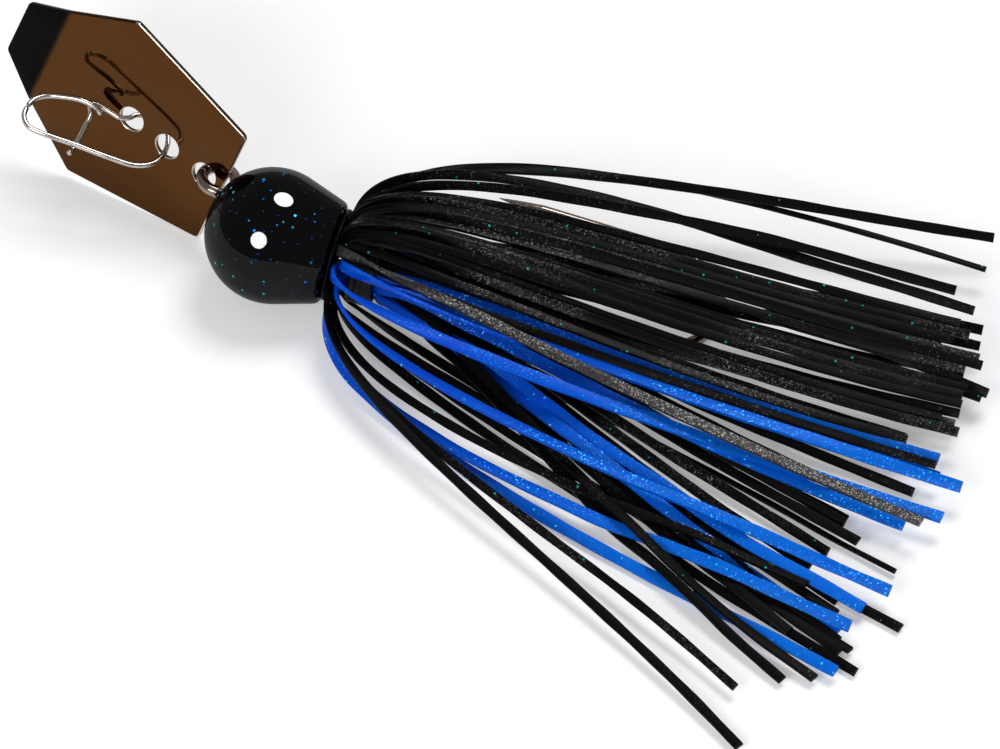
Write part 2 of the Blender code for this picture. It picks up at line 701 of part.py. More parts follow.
def sweptFrom(path, sections, first, middle):
    """A swept mesh whose normals are carried both ways from its middle station."""
    ahead = carriedFrames(path[middle:], first)[1]
    behind = carriedFrames(path[middle::-1], first)[1][::-1]
    normals = np.vstack([behind[:-1], ahead])
    tangents = carriedFrames(path, normals[0])[0]
    normals -= (normals * tangents).sum(-1)[:, None] * tangents
    normals /= np.linalg.norm(normals, axis=1)[:, None]
    sides = np.cross(tangents, normals)
    points = (path[:, None] + sections[..., :1] * normals[:, None]
              + sections[..., 1:] * sides[:, None])
    return points.reshape(-1, 3), tubeFaces(*sections.shape[:2])


# ---------------------------------------------------------------- assembly
def centreOnFloor(root):
    """Moves the whole lure so that its origin is at its bottom centre."""
    bpy.context.view_layer.update()
    corners = [piece.matrix_world @ vert.co for piece in bpy.data.objects
               if piece.type == 'MESH' and not piece.hide_render
               for vert in piece.data.vertices]
    low = Vector([min(c[i] for c in corners) for i in range(3)])
    high = Vector([max(c[i] for c in corners) for i in range(3)])
    middle = (low + high) / 2
    root.location -= Vector((middle.x, middle.y, low.z))


def main():
    for old in list(bpy.data.objects):
        bpy.data.objects.remove(old, do_unlink=True)
    root = addPivot("lure", (0, 0, 0))
    addHook(root)
    addHead(root)
    addCollar(root)
    addStrands(root)
    bladePivot = addPivot("blade_pivot", eyeCentre, root)
    addBlade(bladePivot)
    snapPivot = addPivot("snap_pivot", snapOrigin, bladePivot)
    addSnapPiece("snap_wire", spineArm, snapPivot)
    linePivot = addPivot("line_arm_pivot", snapPoint(*loopEnd), snapPivot)
    addSnapPiece("snap_line_arm", lineArm, linePivot)
    centreOnFloor(root)


main()
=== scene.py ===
import json
import math
import bpy
import bmesh
import numpy as np
from mathutils import Euler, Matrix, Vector


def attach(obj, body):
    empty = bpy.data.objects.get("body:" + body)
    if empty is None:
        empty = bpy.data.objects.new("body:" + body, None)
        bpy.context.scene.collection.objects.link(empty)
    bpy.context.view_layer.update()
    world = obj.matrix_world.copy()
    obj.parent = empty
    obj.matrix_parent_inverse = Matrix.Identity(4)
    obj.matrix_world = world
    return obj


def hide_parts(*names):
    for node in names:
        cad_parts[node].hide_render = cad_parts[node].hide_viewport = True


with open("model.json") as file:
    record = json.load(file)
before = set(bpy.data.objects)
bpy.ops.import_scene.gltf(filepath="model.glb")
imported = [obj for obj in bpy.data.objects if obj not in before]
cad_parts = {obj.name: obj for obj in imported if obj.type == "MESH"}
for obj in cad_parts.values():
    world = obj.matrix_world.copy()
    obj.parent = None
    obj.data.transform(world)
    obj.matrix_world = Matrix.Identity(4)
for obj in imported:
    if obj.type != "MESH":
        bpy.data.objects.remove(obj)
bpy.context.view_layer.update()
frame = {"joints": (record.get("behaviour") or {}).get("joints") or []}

# Looks of a bladed jig lying on its side: mirror blade, wire snap, hook, flaked head and
# a skirt of soft ribbons. Shapes are worked out in millimetres from the head's centre on
# the floor and put in metres in the frame's own place.
mm = 0.001
joints = {joint["name"]: joint for joint in frame["joints"]}

# shared places, the same construction as the hard parts underneath
lure = {"headRadius": 6.9, "rearFace": 6.4, "taper": 17.5, "rearRound": 0.8, "barrel": 1.7,
        "hookWire": 1.25, "shank": 37.9, "bend": 7.0, "eyeRadius": 1.7, "eyeAngle": 36.0,
        "eyeSeat": 0.6, "yaw": -15.7, "gap": 0.3, "keeperNeck": 1.4, "keeperBarb": 1.8,
        "keeper": 4.6}

slope = (lure["headRadius"] - lure["hookWire"] / 2) / (lure["shank"] + lure["bend"])
level = math.sqrt(1 - slope ** 2)
yaw = math.radians(lure["yaw"])
bodyAxis = np.array([math.cos(yaw) * level, math.sin(yaw) * level, -slope])
sideAxis = np.array([-math.sin(yaw), math.cos(yaw), 0.0])
upAxis = np.cross(bodyAxis, sideAxis)
headCentre = np.array([0.0, 0.0, lure["headRadius"]])


def unit(vector):
    return vector / np.linalg.norm(vector)


def bodyPoint(along, side=0.0, up=0.0):
    return headCentre + along * bodyAxis + side * sideAxis + up * upAxis


eyeTurn = math.radians(lure["eyeAngle"])
eyeOut = np.array([-math.cos(eyeTurn), math.sin(eyeTurn)])
eyeSide = np.array([math.sin(eyeTurn), math.cos(eyeTurn)])
eyeReach = (lure["headRadius"] + lure["gap"] + lure["eyeRadius"] + lure["hookWire"] / 2
            - lure["eyeSeat"])
eyeCentre = bodyPoint(*(eyeReach * eyeOut))
place = np.array(joints["blade_swing"]["pos_m"]) - eyeCentre * mm   # head's foot in the frame


# shader graphs: one small class makes value maths read like maths
class Sock:
    def __init__(self, graph, socket):
        self.graph, self.socket = graph, socket

    def maths(self, operation, a, b):
        return self.graph.node("ShaderNodeMath", {"operation": operation}, {0: a, 1: b})

    def __add__(self, other):
        return self.maths("ADD", self, other)

    def __sub__(self, other):
        return self.maths("SUBTRACT", self, other)

    def __rsub__(self, other):
        return self.maths("SUBTRACT", other, self)

    def __mul__(self, other):
        return self.maths("MULTIPLY", self, other)

    def __lt__(self, other):
        return self.maths("LESS_THAN", self, other)

    def ramp(self, low, high, toLow=0.0, toHigh=1.0):
        return self.graph.node("ShaderNodeMapRange", {"interpolation_type": "SMOOTHSTEP"},
                               {0: self, 1: low, 2: high, 3: toLow, 4: toHigh})


class Graph:
    # a node tree whose nodes all come from one method
    def __init__(self, tree):
        self.tree = tree

    def node(self, kind, settings=None, inputs=None, out=0):
        made = self.tree.nodes.new(kind)
        for key, value in (settings or {}).items():
            setattr(made, key, value)
        for key, value in (inputs or {}).items():
            self.join(made.inputs[key], value)
        return Sock(self, made.outputs[out])

    def join(self, socket, value):
        if isinstance(value, Sock):
            self.tree.links.new(value.socket, socket)
        elif isinstance(value, tuple) and len(value) == 3 and socket.type == "RGBA":
            socket.default_value = (*value, 1.0)
        else:
            socket.default_value = value


class Finish(Graph):
    # a material whose Principled shader is set by short names
    sockets = {"colour": "Base Color", "roughness": "Roughness", "metallic": "Metallic",
               "coat": "Coat Weight", "coatRoughness": "Coat Roughness", "normal": "Normal",
               "specular": "Specular IOR Level", "glow": "Emission Color",
               "glowStrength": "Emission Strength"}

    def __init__(self, name):
        self.material = bpy.data.materials.new(name)
        self.material.use_nodes = True
        super().__init__(self.material.node_tree)
        self.shader = self.tree.nodes["Principled BSDF"]

    def set(self, **values):
        for key, value in values.items():
            self.join(self.shader.inputs[self.sockets[key]], value)
        return self

    def mix(self, factor, a, b):
        return self.node("ShaderNodeMix", {"data_type": "RGBA"}, {0: factor, 6: a, 7: b}, 2)

    def coords(self, kind="Object"):
        return self.node("ShaderNodeTexCoord", out=kind)

    def stretched(self, vector, scale):
        return self.node("ShaderNodeMapping", inputs={"Vector": vector, "Scale": scale})

    def noise(self, vector, scale, detail=2.0, rough=0.5):
        return self.node("ShaderNodeTexNoise", inputs={
            "Vector": vector, "Scale": scale, "Detail": detail, "Roughness": rough})

    def bump(self, height, strength, distance, over=None):
        inputs = {"Height": height, "Strength": strength, "Distance": distance}
        if over is not None:
            inputs["Normal"] = over
        return self.node("ShaderNodeBump", inputs=inputs)

    def split(self, colour):
        parts = self.node("ShaderNodeSeparateColor", inputs={0: colour})
        return [Sock(self, output) for output in parts.socket.node.outputs]

    def glints(self, vector, cell, tilt, share, where):
        # small flat flecks, each tipped its own way, so that only some catch a lamp
        cells = {"Vector": vector, "Scale": 1 / cell}
        own = self.node("ShaderNodeTexVoronoi", inputs=cells, out="Color")
        mask = (self.split(own)[0] < share) * where
        aside = self.node("ShaderNodeVectorMath", {"operation": "SUBTRACT"},
                          {0: own, 1: (share / 2, 0.5, 0.5)})
        lean = self.node("ShaderNodeVectorMath", {"operation": "SCALE"},
                         {0: aside, 3: mask * tilt})
        flat = self.node("ShaderNodeNewGeometry", out="Normal")
        both = self.node("ShaderNodeVectorMath", {"operation": "ADD"}, {0: flat, 1: lean})
        return mask, self.node("ShaderNodeVectorMath", {"operation": "NORMALIZE"}, {0: both})

    def flakes(self, vector, cell, radius, share):
        # round flecks: near a cell's own point, in the given share of the cells
        cells = {"Vector": vector, "Scale": 1 / cell}
        near = self.node("ShaderNodeTexVoronoi", inputs=cells, out="Distance")
        own = self.node("ShaderNodeTexVoronoi", inputs=cells, out="Color")
        chance, pick, _ = self.split(own)
        return (near < radius) * (chance < share), pick


def bladeFinish(bendPlace):
    # bronze-black mirror plating; from the bend line on, the bent tip is painted black, a painted
    # dark reflection
    make = Finish("bladePlate")
    spot = make.coords()
    ahead = make.node("ShaderNodeVectorMath", {"operation": "DOT_PRODUCT"},
                      {0: spot, 1: tuple(bladeAlong)}, "Value")
    reach = ahead - float((bladePoint(bendPlace) * mm + place) @ bladeAlong)
    # tip marks the painted dark reflection on the bent tip: black and not metal from the bend
    # line on
    tip = reach.ramp(-0.0004, 0.0004, 1.0, 0.0)
    haze = make.noise(spot, 90, 3)
    bronze = make.mix(haze, (0.073, 0.0295, 0.0085), (0.098, 0.040, 0.0125))
    fine = make.noise(spot, 1400, 2)
    return make.set(colour=make.mix(tip, bronze, (0.0014, 0.0012, 0.0014)),
                    metallic=1 - tip, specular=0.03,
                    roughness=haze.ramp(0.3, 0.7, 0.05, 0.085),
                    normal=make.bump(fine, 0.03, 0.00002))


def edgeFinish(name, dark, light):
    make = Finish(name)
    tone = make.noise(make.coords(), 300, 2)
    return make.set(colour=make.mix(tone, dark, light), metallic=1.0,
                    roughness=tone.ramp(0.3, 0.7, 0.16, 0.28))


def wireFinish(name, dark, light, rough):
    # drawn wire: faint lengthwise tone and tiny pits
    make = Finish(name)
    spot = make.coords()
    tone = make.noise(spot, 700, 4, 0.6)
    pits = make.noise(spot, 6000, 2)
    return make.set(colour=make.mix(tone, dark, light), metallic=1.0,
                    roughness=tone.ramp(0.3, 0.7, rough * 0.8, rough * 1.4),
                    normal=make.bump(pits, 0.08, 0.00002))


def headFinish():
    # gloss black under clear coat, with blue and teal flake at two sizes
    make = Finish("headPaint")
    spot = make.coords()
    patch = make.noise(spot, 260, 2).ramp(0.35, 0.6)
    big, pickBig = make.flakes(spot, 0.0010, 0.15, 0.5)
    small, pickSmall = make.flakes(spot, 0.0007, 0.15, 0.45)
    big = big * patch
    bright = make.mix(pickBig, (0.01, 0.09, 0.55), (0.02, 0.55, 0.62))
    deep = make.mix(pickSmall, (0.002, 0.018, 0.16), (0.0, 0.06, 0.14))
    base = make.mix(small, (0.0007, 0.0007, 0.0012), deep)
    flaked = make.node("ShaderNodeClamp", inputs={0: big + small})
    _, tipped = make.glints(spot, 0.0006, 0.9, 1.0, flaked)
    return make.set(colour=make.mix(big, base, bright), metallic=flaked * 0.12, roughness=0.3,
                    coat=0.3, coatRoughness=0.03, specular=0.0, normal=tipped)


def strandFinish(name, look):
    # soft rubber ribbon: lengthwise streaks, clouded tone, flecks of flake and fine glitter;
    # strip holds the way round the ribbon and the distance from the collar, in millimetres
    make = Finish(name)
    spot, strip = make.coords(), make.coords("UV")
    streak = make.noise(make.stretched(strip, (5.0, 0.22, 1.0)), 1.0, 4, 0.6)
    cloud = make.noise(spot, 130, 3)
    away = make.node("ShaderNodeSeparateXYZ", inputs={0: strip}, out="Y")
    paler = away.ramp(14, 62) * 0.75
    tone = make.node("ShaderNodeClamp", inputs={0: streak * 0.4 + cloud * 0.4 - 0.3 + paler})
    fleck, pick = make.flakes(spot, 0.00055, 0.23, look["flakes"])
    # glitter lies in stretches shared by neighbouring strands, set where lamplight would catch
    # it, a painted highlight on real glitter; little of it near the collar
    stretch = make.noise(spot, 70, 2).ramp(*look["stretch"]) * away.ramp(2, 12, 0.25, 1.0)
    mask, tipped = make.glints(spot, 0.00012, 0.7, look["glints"], stretch)
    skin = make.mix(tone, *look["body"])
    skin = make.mix(mask, skin, make.mix(cloud, *look["glint"]))
    skin = make.mix(fleck, skin, make.mix(pick, *look["flake"]))
    return make.set(colour=skin, metallic=mask * (1 - fleck), specular=look["specular"],
                    roughness=streak.ramp(0.3, 0.7, look["rough"] * 0.8, look["rough"] * 1.25),
                    normal=make.bump(streak + cloud * 0.4, 0.3, 0.00006, tipped))


def rubberFinish():
    make = Finish("collarRubber")
    grain = make.noise(make.coords(), 2500, 3)
    return make.set(colour=make.mix(grain, (0.0015, 0.0015, 0.0018), (0.005, 0.005, 0.0055)),
                    roughness=grain.ramp(0.3, 0.7, 0.4, 0.6),
                    normal=make.bump(grain, 0.3, 0.00003))


# mesh building from whole arrays
def gridFaces(rows, columns):
    # quads between neighbouring rows of a grid whose columns wrap round
    row, column = np.meshgrid(np.arange(rows - 1), np.arange(columns), indexing="ij")
    after = (column + 1) % columns
    quads = np.stack([row * columns + column, row * columns + after,
                      (row + 1) * columns + after, (row + 1) * columns + column], axis=-1)
    return quads.reshape(-1, 4)


def addPiece(name, points, quads, caps, finish, body, node, uv=None, sharp=35):
    # points in millimetres from the head's foot; caps are whole rings of corners
    faces = [tuple(face) for face in quads.tolist()] + [tuple(cap) for cap in caps]
    mesh = bpy.data.meshes.new(name)
    mesh.from_pydata((points * mm + place).tolist(), [], faces)
    if uv is not None:
        layer = mesh.uv_layers.new(name="strip")
        corners = np.empty(len(mesh.loops), dtype=np.int32)
        mesh.loops.foreach_get("vertex_index", corners)
        layer.data.foreach_set("uv", uv[corners].astype(np.float32).ravel())
    return finishPiece(name, mesh, finish, body, node, sharp)


def finishPiece(name, mesh, finish, body, node, sharp):
    shape = bmesh.new()
    shape.from_mesh(mesh)
    bmesh.ops.recalc_face_normals(shape, faces=shape.faces)
    shape.to_mesh(mesh)
    shape.free()
    mesh.shade_smooth()
    mesh.set_sharp_from_angle(angle=math.radians(sharp))
    mesh.materials.append(finish.material)
    piece = bpy.data.objects.new(name, mesh)
    bpy.context.scene.collection.objects.link(piece)
    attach(piece, body)
    if node:
        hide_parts(node)
    return piece


def throughPoints(a, b, c, d, t):
    # the Catmull-Rom cubic from b to c, with its neighbours a and d
    return 0.5 * (2 * b + (c - a) * t + (2 * a - 5 * b + 4 * c - d) * t ** 2
                  + (3 * b - a - 3 * c + d) * t ** 3)


def arc(start, corner, end, t):
    # a quadratic curve that leaves its start and meets its end in line with the corner
    return (1 - t) ** 2 * start + 2 * t * (1 - t) * corner + t ** 2 * end


def lengthAlong(path):
    return np.concatenate([[0.0], np.cumsum(np.linalg.norm(np.diff(path, axis=0), axis=1))])


def ringOf(sides, first, second):
    angles = np.arange(sides) * 2 * np.pi / sides
    return np.cos(angles)[:, None] * first + np.sin(angles)[:, None] * second


def smoothPath(points, spacing):
    # a curve through the points, sampled about every spacing
    points = np.asarray(points, float)
    ends = np.vstack([2 * points[0] - points[1], points, 2 * points[-1] - points[-2]])
    pieces = []
    for i in range(1, len(ends) - 2):
        a, b, c, d = ends[i - 1:i + 3]
        count = max(1, round(np.linalg.norm(c - b) / spacing))
        t = (np.arange(count) / count)[:, None]
        pieces.append(throughPoints(a, b, c, d, t))
    return np.vstack(pieces + [points[-1:]])


def directions(path):
    # unit tangents from the neighbours on both sides
    steps = np.gradient(path, axis=-2)
    return steps / np.linalg.norm(steps, axis=-1, keepdims=True)


def roundWire(path, radii, planeNormal, sides):
    # a circle of each station's radius, square to the path, measured from the plane's normal
    tangents = directions(path)
    normals = planeNormal - tangents * (tangents @ planeNormal)[:, None]
    normals /= np.linalg.norm(normals, axis=1)[:, None]
    across = np.cross(tangents, normals)
    ring = ringOf(sides, normals[:, None], across[:, None])
    return path[:, None] + ring * radii[:, None, None]


def ringCaps(rows, columns):
    return [list(range(columns))[::-1], list(range((rows - 1) * columns, rows * columns))]


def roundedEnds(path, radius):
    # radii that close to a small dome over the last radius of each end
    length = lengthAlong(path)
    toEnd = np.minimum(length, length[-1] - length)
    share = np.clip(toEnd / radius, 0, 1)
    return radius * np.maximum(np.sqrt(1 - (1 - share) ** 2), 0.15)


def addWire(name, path, radii, planeNormal, finish, body, node, sides):
    points = roundWire(path, radii, planeNormal, sides)
    rows, columns = points.shape[:2]
    addPiece(name, points.reshape(-1, 3), gridFaces(rows, columns), ringCaps(rows, columns),
             finish, body, node)


def addTurned(name, profile, finish, body, node, sides, closed=False):
    # a profile of (along, radius) turned round the body axis
    profile = np.asarray(profile, float)
    points = (headCentre + profile[:, None, :1] * bodyAxis
              + profile[:, None, 1:] * ringOf(sides, sideAxis, upAxis))
    rows = len(profile)
    quads = gridFaces(rows + closed, sides) % (rows * sides)
    caps = [] if closed else ringCaps(rows, sides)
    return addPiece(name, points.reshape(-1, 3), quads, caps, finish, body, node)


def roundedCorners(corners, radius, steps):
    # each corner of a closed outline becomes a quadratic arc between its two edges
    corners = np.asarray(corners, float)
    outline = []
    for i, corner in enumerate(corners):
        before = unit(corner - corners[i - 1])
        after = unit(corners[(i + 1) % len(corners)] - corner)
        reach = radius * math.tan(math.acos(np.clip(before @ after, -1, 1)) / 2)
        t = np.linspace(0, 1, steps + 1)[:, None]
        outline.append(arc(corner - before * reach, corner, corner + after * reach, t))
    return np.vstack(outline)


# the hook
hookLook = {"pointArm": 18.0, "taper": 4.5, "barbRoot": 2.6, "barb": 5.2, "barbHeight": 0.75,
            "neckRound": 3.0, "spacing": 0.22}


def hookPlan():
    # ring, leg, straight shank, half-round bend and point arm, in the hook's own plane
    radius = lure["eyeRadius"]
    turns = np.radians(np.linspace(338, 50, 30))[:, None]  # the free end is in the paint
    ring = eyeReach * eyeOut + radius * (-np.cos(turns) * eyeOut + np.sin(turns) * eyeSide)
    corner = (eyeReach - radius / math.cos(turns[-1, 0])) * eyeOut
    t = np.array([0.25, 0.5, 0.75, 1.0])[:, None]
    leg = arc(ring[-1], corner, corner - eyeOut, t)
    reach = hookLook["neckRound"] * math.tan(eyeTurn / 2)
    neck = arc(eyeOut * reach, np.zeros(2), np.array([reach, 0.0]), np.linspace(0, 1, 6)[:, None])
    along = np.array([6.0, 12.0, 18.0, 24.0, 30.0, 34.0])
    shank = np.stack([along, along * 0], axis=1)
    turns = np.radians(np.linspace(-90, 90, 31))
    bend = np.stack([lure["shank"] + lure["bend"] * np.cos(turns),
                     lure["bend"] * (1 + np.sin(turns))], axis=1)
    back = np.array([14.0, 10.0, 7.0, 5.2, 3.5, 1.8, 0.0])
    arm = np.stack([lure["shank"] - hookLook["pointArm"] + back,
                    back * 0 + 2 * lure["bend"]], axis=1)
    return np.vstack([ring, leg, neck, shank, bend, arm])


def buildHook(plan, finish):
    # the wire carried along its plan, drawn down to the point and domed at its other end
    plan = smoothPath(plan, hookLook["spacing"])
    path = headCentre + plan[:, :1] * bodyAxis + plan[:, 1:] * sideAxis
    length = lengthAlong(path)
    toPoint = length[-1] - length
    wire = lure["hookWire"] / 2
    radii = wire * np.clip(toPoint / hookLook["taper"], 0.06, 1) ** 0.75
    radii = np.minimum(radii, wire * np.sqrt(np.clip(1 - (1 - length / wire).clip(0, 1) ** 2,
                                                     0.05, 1)))
    points = roundWire(path, radii, upAxis, 24)
    # the barb: a sliver raised on the inner side, rising towards its tip, then cut off
    barbRoot = hookLook["barbRoot"]
    rise = np.clip((toPoint - barbRoot) / (hookLook["barb"] - barbRoot), 0, 1)
    rise = np.where(toPoint > hookLook["barb"], 0, rise) ** 1.4
    inner = np.clip(((path[:, None] - points) @ sideAxis) / wire, 0, 1) ** 6
    points = points - (rise[:, None] * inner * hookLook["barbHeight"])[..., None] * sideAxis
    rows, columns = points.shape[:2]
    addPiece("hookWire", points.reshape(-1, 3), gridFaces(rows, columns),
             ringCaps(rows, columns), finish, "lure_body", "hook")


# the head with its stem, and the paint gathered round the leg
bead = {"seat": 0.45, "height": 0.85, "clear": 0.02, "spread": 0.95, "rows": 14, "sides": 40}


def buildHead(finish):
    # a ball that runs into a cone behind, with a rounded rear rim
    radius, rear = lure["headRadius"], lure["rearFace"]
    taper = math.radians(lure["taper"])
    arcs = np.linspace(math.pi - 0.004, math.pi / 2 - taper, 80)
    ball = np.stack([radius * np.cos(arcs), radius * np.sin(arcs)], axis=1)
    rim = np.array([rear, (radius - rear * math.sin(taper)) / math.cos(taper)])
    cone = np.array([math.cos(taper), -math.sin(taper)])
    reach = lure["rearRound"] * math.tan((math.pi / 2 - taper) / 2)
    start, flat = rim - cone * reach, rim - np.array([0.0, reach])
    along = np.linspace(0.08, 1, 12)[:, None]
    wall = ball[-1] + (start - ball[-1]) * along
    t = np.linspace(0.1, 1, 10)[:, None]
    roll = arc(start, rim, flat, t)
    neck, barb, end = lure["keeperNeck"], lure["keeperBarb"], keeperEnd
    stem = [(rear, lure["barrel"] + 0.3), (rear + 0.3, lure["barrel"]),
            (barrelEnd - 0.15, lure["barrel"]), (barrelEnd, lure["barrel"] - 0.15),
            (barrelEnd + 0.05, neck), (barrelEnd + 1.4, neck), (barrelEnd + 1.5, barb - 0.1),
            (barrelEnd + 1.65, barb), (end - 0.2, neck), (end, neck - 0.3)]   # the keeper
    casting = addTurned("headBall", np.vstack([ball, wall, roll, stem]), finish, "lure_body",
                        "head_casting", 128)
    # a low bead of paint where the eye's leg goes in
    along = np.linspace(0, 1, bead["rows"])
    out = lure["headRadius"] - bead["seat"] + bead["height"] * along
    width = lure["hookWire"] / 2 + bead["clear"] + bead["spread"] * (1 - along) ** 2.0
    axis = eyeOut[0] * bodyAxis + eyeOut[1] * sideAxis
    side = eyeSide[0] * bodyAxis + eyeSide[1] * sideAxis
    points = (headCentre + out[:, None, None] * axis
              + width[:, None, None] * ringOf(bead["sides"], side, upAxis))
    gathered = addPiece("paintBead", points.reshape(-1, 3),
                        gridFaces(bead["rows"], bead["sides"]),
                        ringCaps(bead["rows"], bead["sides"]), finish, "lure_body", None)
    return casting, gathered


# the skirt: the collar and the strands
skirt = {"count": 24, "thick": 0.4, "wide": 0.85, "thin": 0.5, "collarThick": 0.75,
         "collarLength": 2.6, "nestStep": 0.7, "stations": 17, "space": 1.02, "rounds": 200,
         "fanCentre": 5.9, "finer": 6, "face": (0.0, -0.45, 0.9), "fill": 0.8, "drawIn": 0.24,
         "ease": 0.06, "bowHold": 4, "look": {"black": 0.9, "grey": 1.0, "blue": 1.12}}
halfWide = skirt["wide"] / 2
layerIn = lure["barrel"] + lure["gap"] + skirt["thick"] / 2
layerOut = layerIn + skirt["nestStep"]
collarInner = math.hypot(layerOut + skirt["thick"] / 2, halfWide) + lure["gap"]
collarOuter = collarInner + skirt["collarThick"]
turnRadius = (layerOut + collarOuter + lure["gap"] + skirt["thick"] / 2) / 2
turnReach = turnRadius - layerIn
collarFront = lure["rearFace"] + 2 * lure["gap"] + turnReach + skirt["thick"] / 2
collarRear = collarFront + skirt["collarLength"]
barrelEnd = collarRear + 0.6
keeperEnd = barrelEnd + lure["keeper"]
turnEnd = math.radians(100)
fanStart = bodyPoint(skirt["fanCentre"])
clearSpace = {"along": lure["shank"] - 8.0, "side": lure["bend"], "halfX": 5.0, "halfY": 4.4,
              "top": 4.8, "ahead": 2.5}

# One row for a strand, round the collar from the hook's side over the top: colour, width,
# then the outer and the inner tail as heading in degrees, reach, tip height, how far it
# first stands out from the collar, and its end's turn from its heading in degrees.
skirtRows = (
    ("black", "thin", (1, 66, 2.5, 15, -18), (-12, 65, 2.0, 8, 0)),
    ("black", "wide", (4, 67, 3.5, 12, -10), (-6.5, 66, 2.5, 8, -4)),
    ("black", "wide", (-5.5, 65, 4.0, 11, -15), (-10, 62, 2.0, 9, 0)),
    ("black", "wide", (-3.5, 63, 4.5, 9, -12), (-8.5, 66, 2.5, 9, -3)),
    ("black", "wide", (-9, 65, 4.5, 8, -4), (-14, 68, 2.5, 9, -12)),
    ("black", "wide", (-12.5, 67, 4.5, 8, -4), (-11, 66, 3.0, 9, 0)),
    ("black", "wide", (-16, 66, 4.0, 8, 0), (-17, 66, 2.5, 10, 2)),
    ("black", "wide", (-20, 67, 3.5, 8, 3), (-21.5, 62, 2.5, 10, 0)),
    ("grey", "wide", (-31, 69, 3.5, 6, 2), (-18.5, 66, 2.5, 10, 0)),
    ("blue", "wide", (-25.5, 70, 3.0, 8, 3), (-22.5, 66, 2.0, 10, 2)),
    ("blue", "wide", (-29, 70, 2.5, 9, 6), (-24.5, 67, 2.0, 10, 2)),
    ("blue", "wide", (-38, 71, 2.0, 11, 9), (-31, 67, 2.0, 10, 4)),
    ("black", "wide", (-57.5, 76, 0.8, 12, 2), (-48.5, 73, 0.8, 11, 6)),
    ("blue", "wide", (-43, 71, 1.6, 14, 12), (-40.5, 70, 1.0, 10, 5)),
    ("blue", "wide", (-47, 74, 1.2, 13, 11), (-43.5, 70, 0.8, 10, 4)),
    ("black", "wide", (-45.5, 75, 0.6, 5, 5), (-50.5, 71, 0.7, 10, 3)),
    ("black", "wide", (-40, 74, 0.6, 4, 3), (-45, 72, 0.7, 10, 2)),
    ("black", "wide", (-41.5, 68, 0.6, 3, 0), (-46.5, 67, 0.7, 10, 2)),
    ("black", "thin", (-35, 69, 0.6, 4, -4), (-41, 67, 0.7, 10, 0)),
    ("black", "wide", (-36.5, 62, 0.6, 4, -4), (-39.5, 62, 0.7, 10, -3)),
    ("black", "wide", (-32, 61, 0.6, 4, -3), (-34.5, 64, 1.0, 10, -2)),
    ("black", "wide", (-26, 65, 0.6, 4, -2), (-29, 61, 1.0, 10, -2)),
    ("black", "wide", (-22, 63, 0.6, 5, -2), (-24, 60, 1.0, 10, 0)),
    ("black", "thin", (-8, 62, 1.5, 8, -3), (-14.5, 64, 2.0, 9, 0)),
)


def aroundPoint(along, radius, angle):
    return bodyPoint(along, radius * math.cos(angle), radius * math.sin(angle))


def heldPath(index):
    # under the collar from its rear, then round its front edge to point outwards
    angle = math.radians((index + 0.5) * 360 / skirt["count"])
    layer = layerIn if index % 2 == 0 else layerOut
    radius = turnRadius - layer
    places = [(collarRear, layer), (collarFront, layer)]
    for turn in np.linspace(0, turnEnd, 6)[1:]:
        places.append((collarFront - radius * math.sin(turn),
                       turnRadius - radius * math.cos(turn)))
    return np.array([aroundPoint(s, r, angle) for s, r in places])


def tailCurve(start, leave, tail):
    # one cubic with two handles, from the collar to the tip
    heading, reach, height, flare, turn = tail
    fan, end = math.radians(heading), math.radians(heading + turn)
    tip = np.array([fanStart[0] + reach * math.cos(fan), fanStart[1] + reach * math.sin(fan),
                    height])
    first = start + leave * flare
    second = tip - np.array([math.cos(end), math.sin(end), -0.03]) * reach * 0.45
    if heading > lure["yaw"]:                             # these ride over the hook
        second[2] = max(second[2], clearSpace["top"] + 2.0)
    ts = (np.linspace(0, 1, skirt["stations"]) ** 1.25)[:, None]
    return ((1 - ts) ** 3 * start + 3 * ts * (1 - ts) ** 2 * first
            + 3 * ts ** 2 * (1 - ts) * second + ts ** 3 * tip)


def firstTails():
    tails = []
    for index, (_, _, outer, inner) in enumerate(skirtRows):
        held = heldPath(index)
        heading = math.radians(inner[0])
        leaveRear = unit(2 * bodyAxis + np.array([math.cos(heading), math.sin(heading), 0.0]))
        tails.append(tailCurve(held[-1], unit(held[-1] - held[-2]), outer))
        tails.append(tailCurve(held[0], leaveRear, inner))
    return np.array(tails)


def nearestOnRuns(points, starts, ends):
    # offset of each point from its nearest place on each straight run
    runs = ends - starts
    share = ((points - starts) * runs).sum(-1) / (runs ** 2).sum(-1)
    return points - starts - np.clip(share, 0, 1)[..., None] * runs


def shortfall(offset, distance, space):
    # the move along each offset that makes up what its distance lacks
    short = np.clip(space - distance, 0, None)
    return offset / np.maximum(distance, 1e-3)[..., None] * short[..., None]


def pushApart(tails, space):
    # tails move off each other where their centre lines come closer than space
    count, stations = tails.shape[:2]
    moves = np.zeros_like(tails)
    for shift in range(-3, 4):
        own = np.arange(max(0, -shift), min(stations - 1, stations - 1 - shift))
        starts, ends = tails[None, :, own + shift], tails[None, :, own + shift + 1]
        for share in (0.0, 0.5):
            points = tails[:, own] * (1 - share) + tails[:, own + 1] * share
            offset = nearestOnRuns(points[:, None], starts, ends)
            distance = np.linalg.norm(offset, axis=-1)
            distance[np.arange(count), np.arange(count)] = space
            push = (shortfall(offset, distance, space) * 0.4).sum(axis=1)
            moves[:, own] += push * (1 - share)
            moves[:, own + 1] += push * share
    return np.clip(moves, -0.6, 0.6)


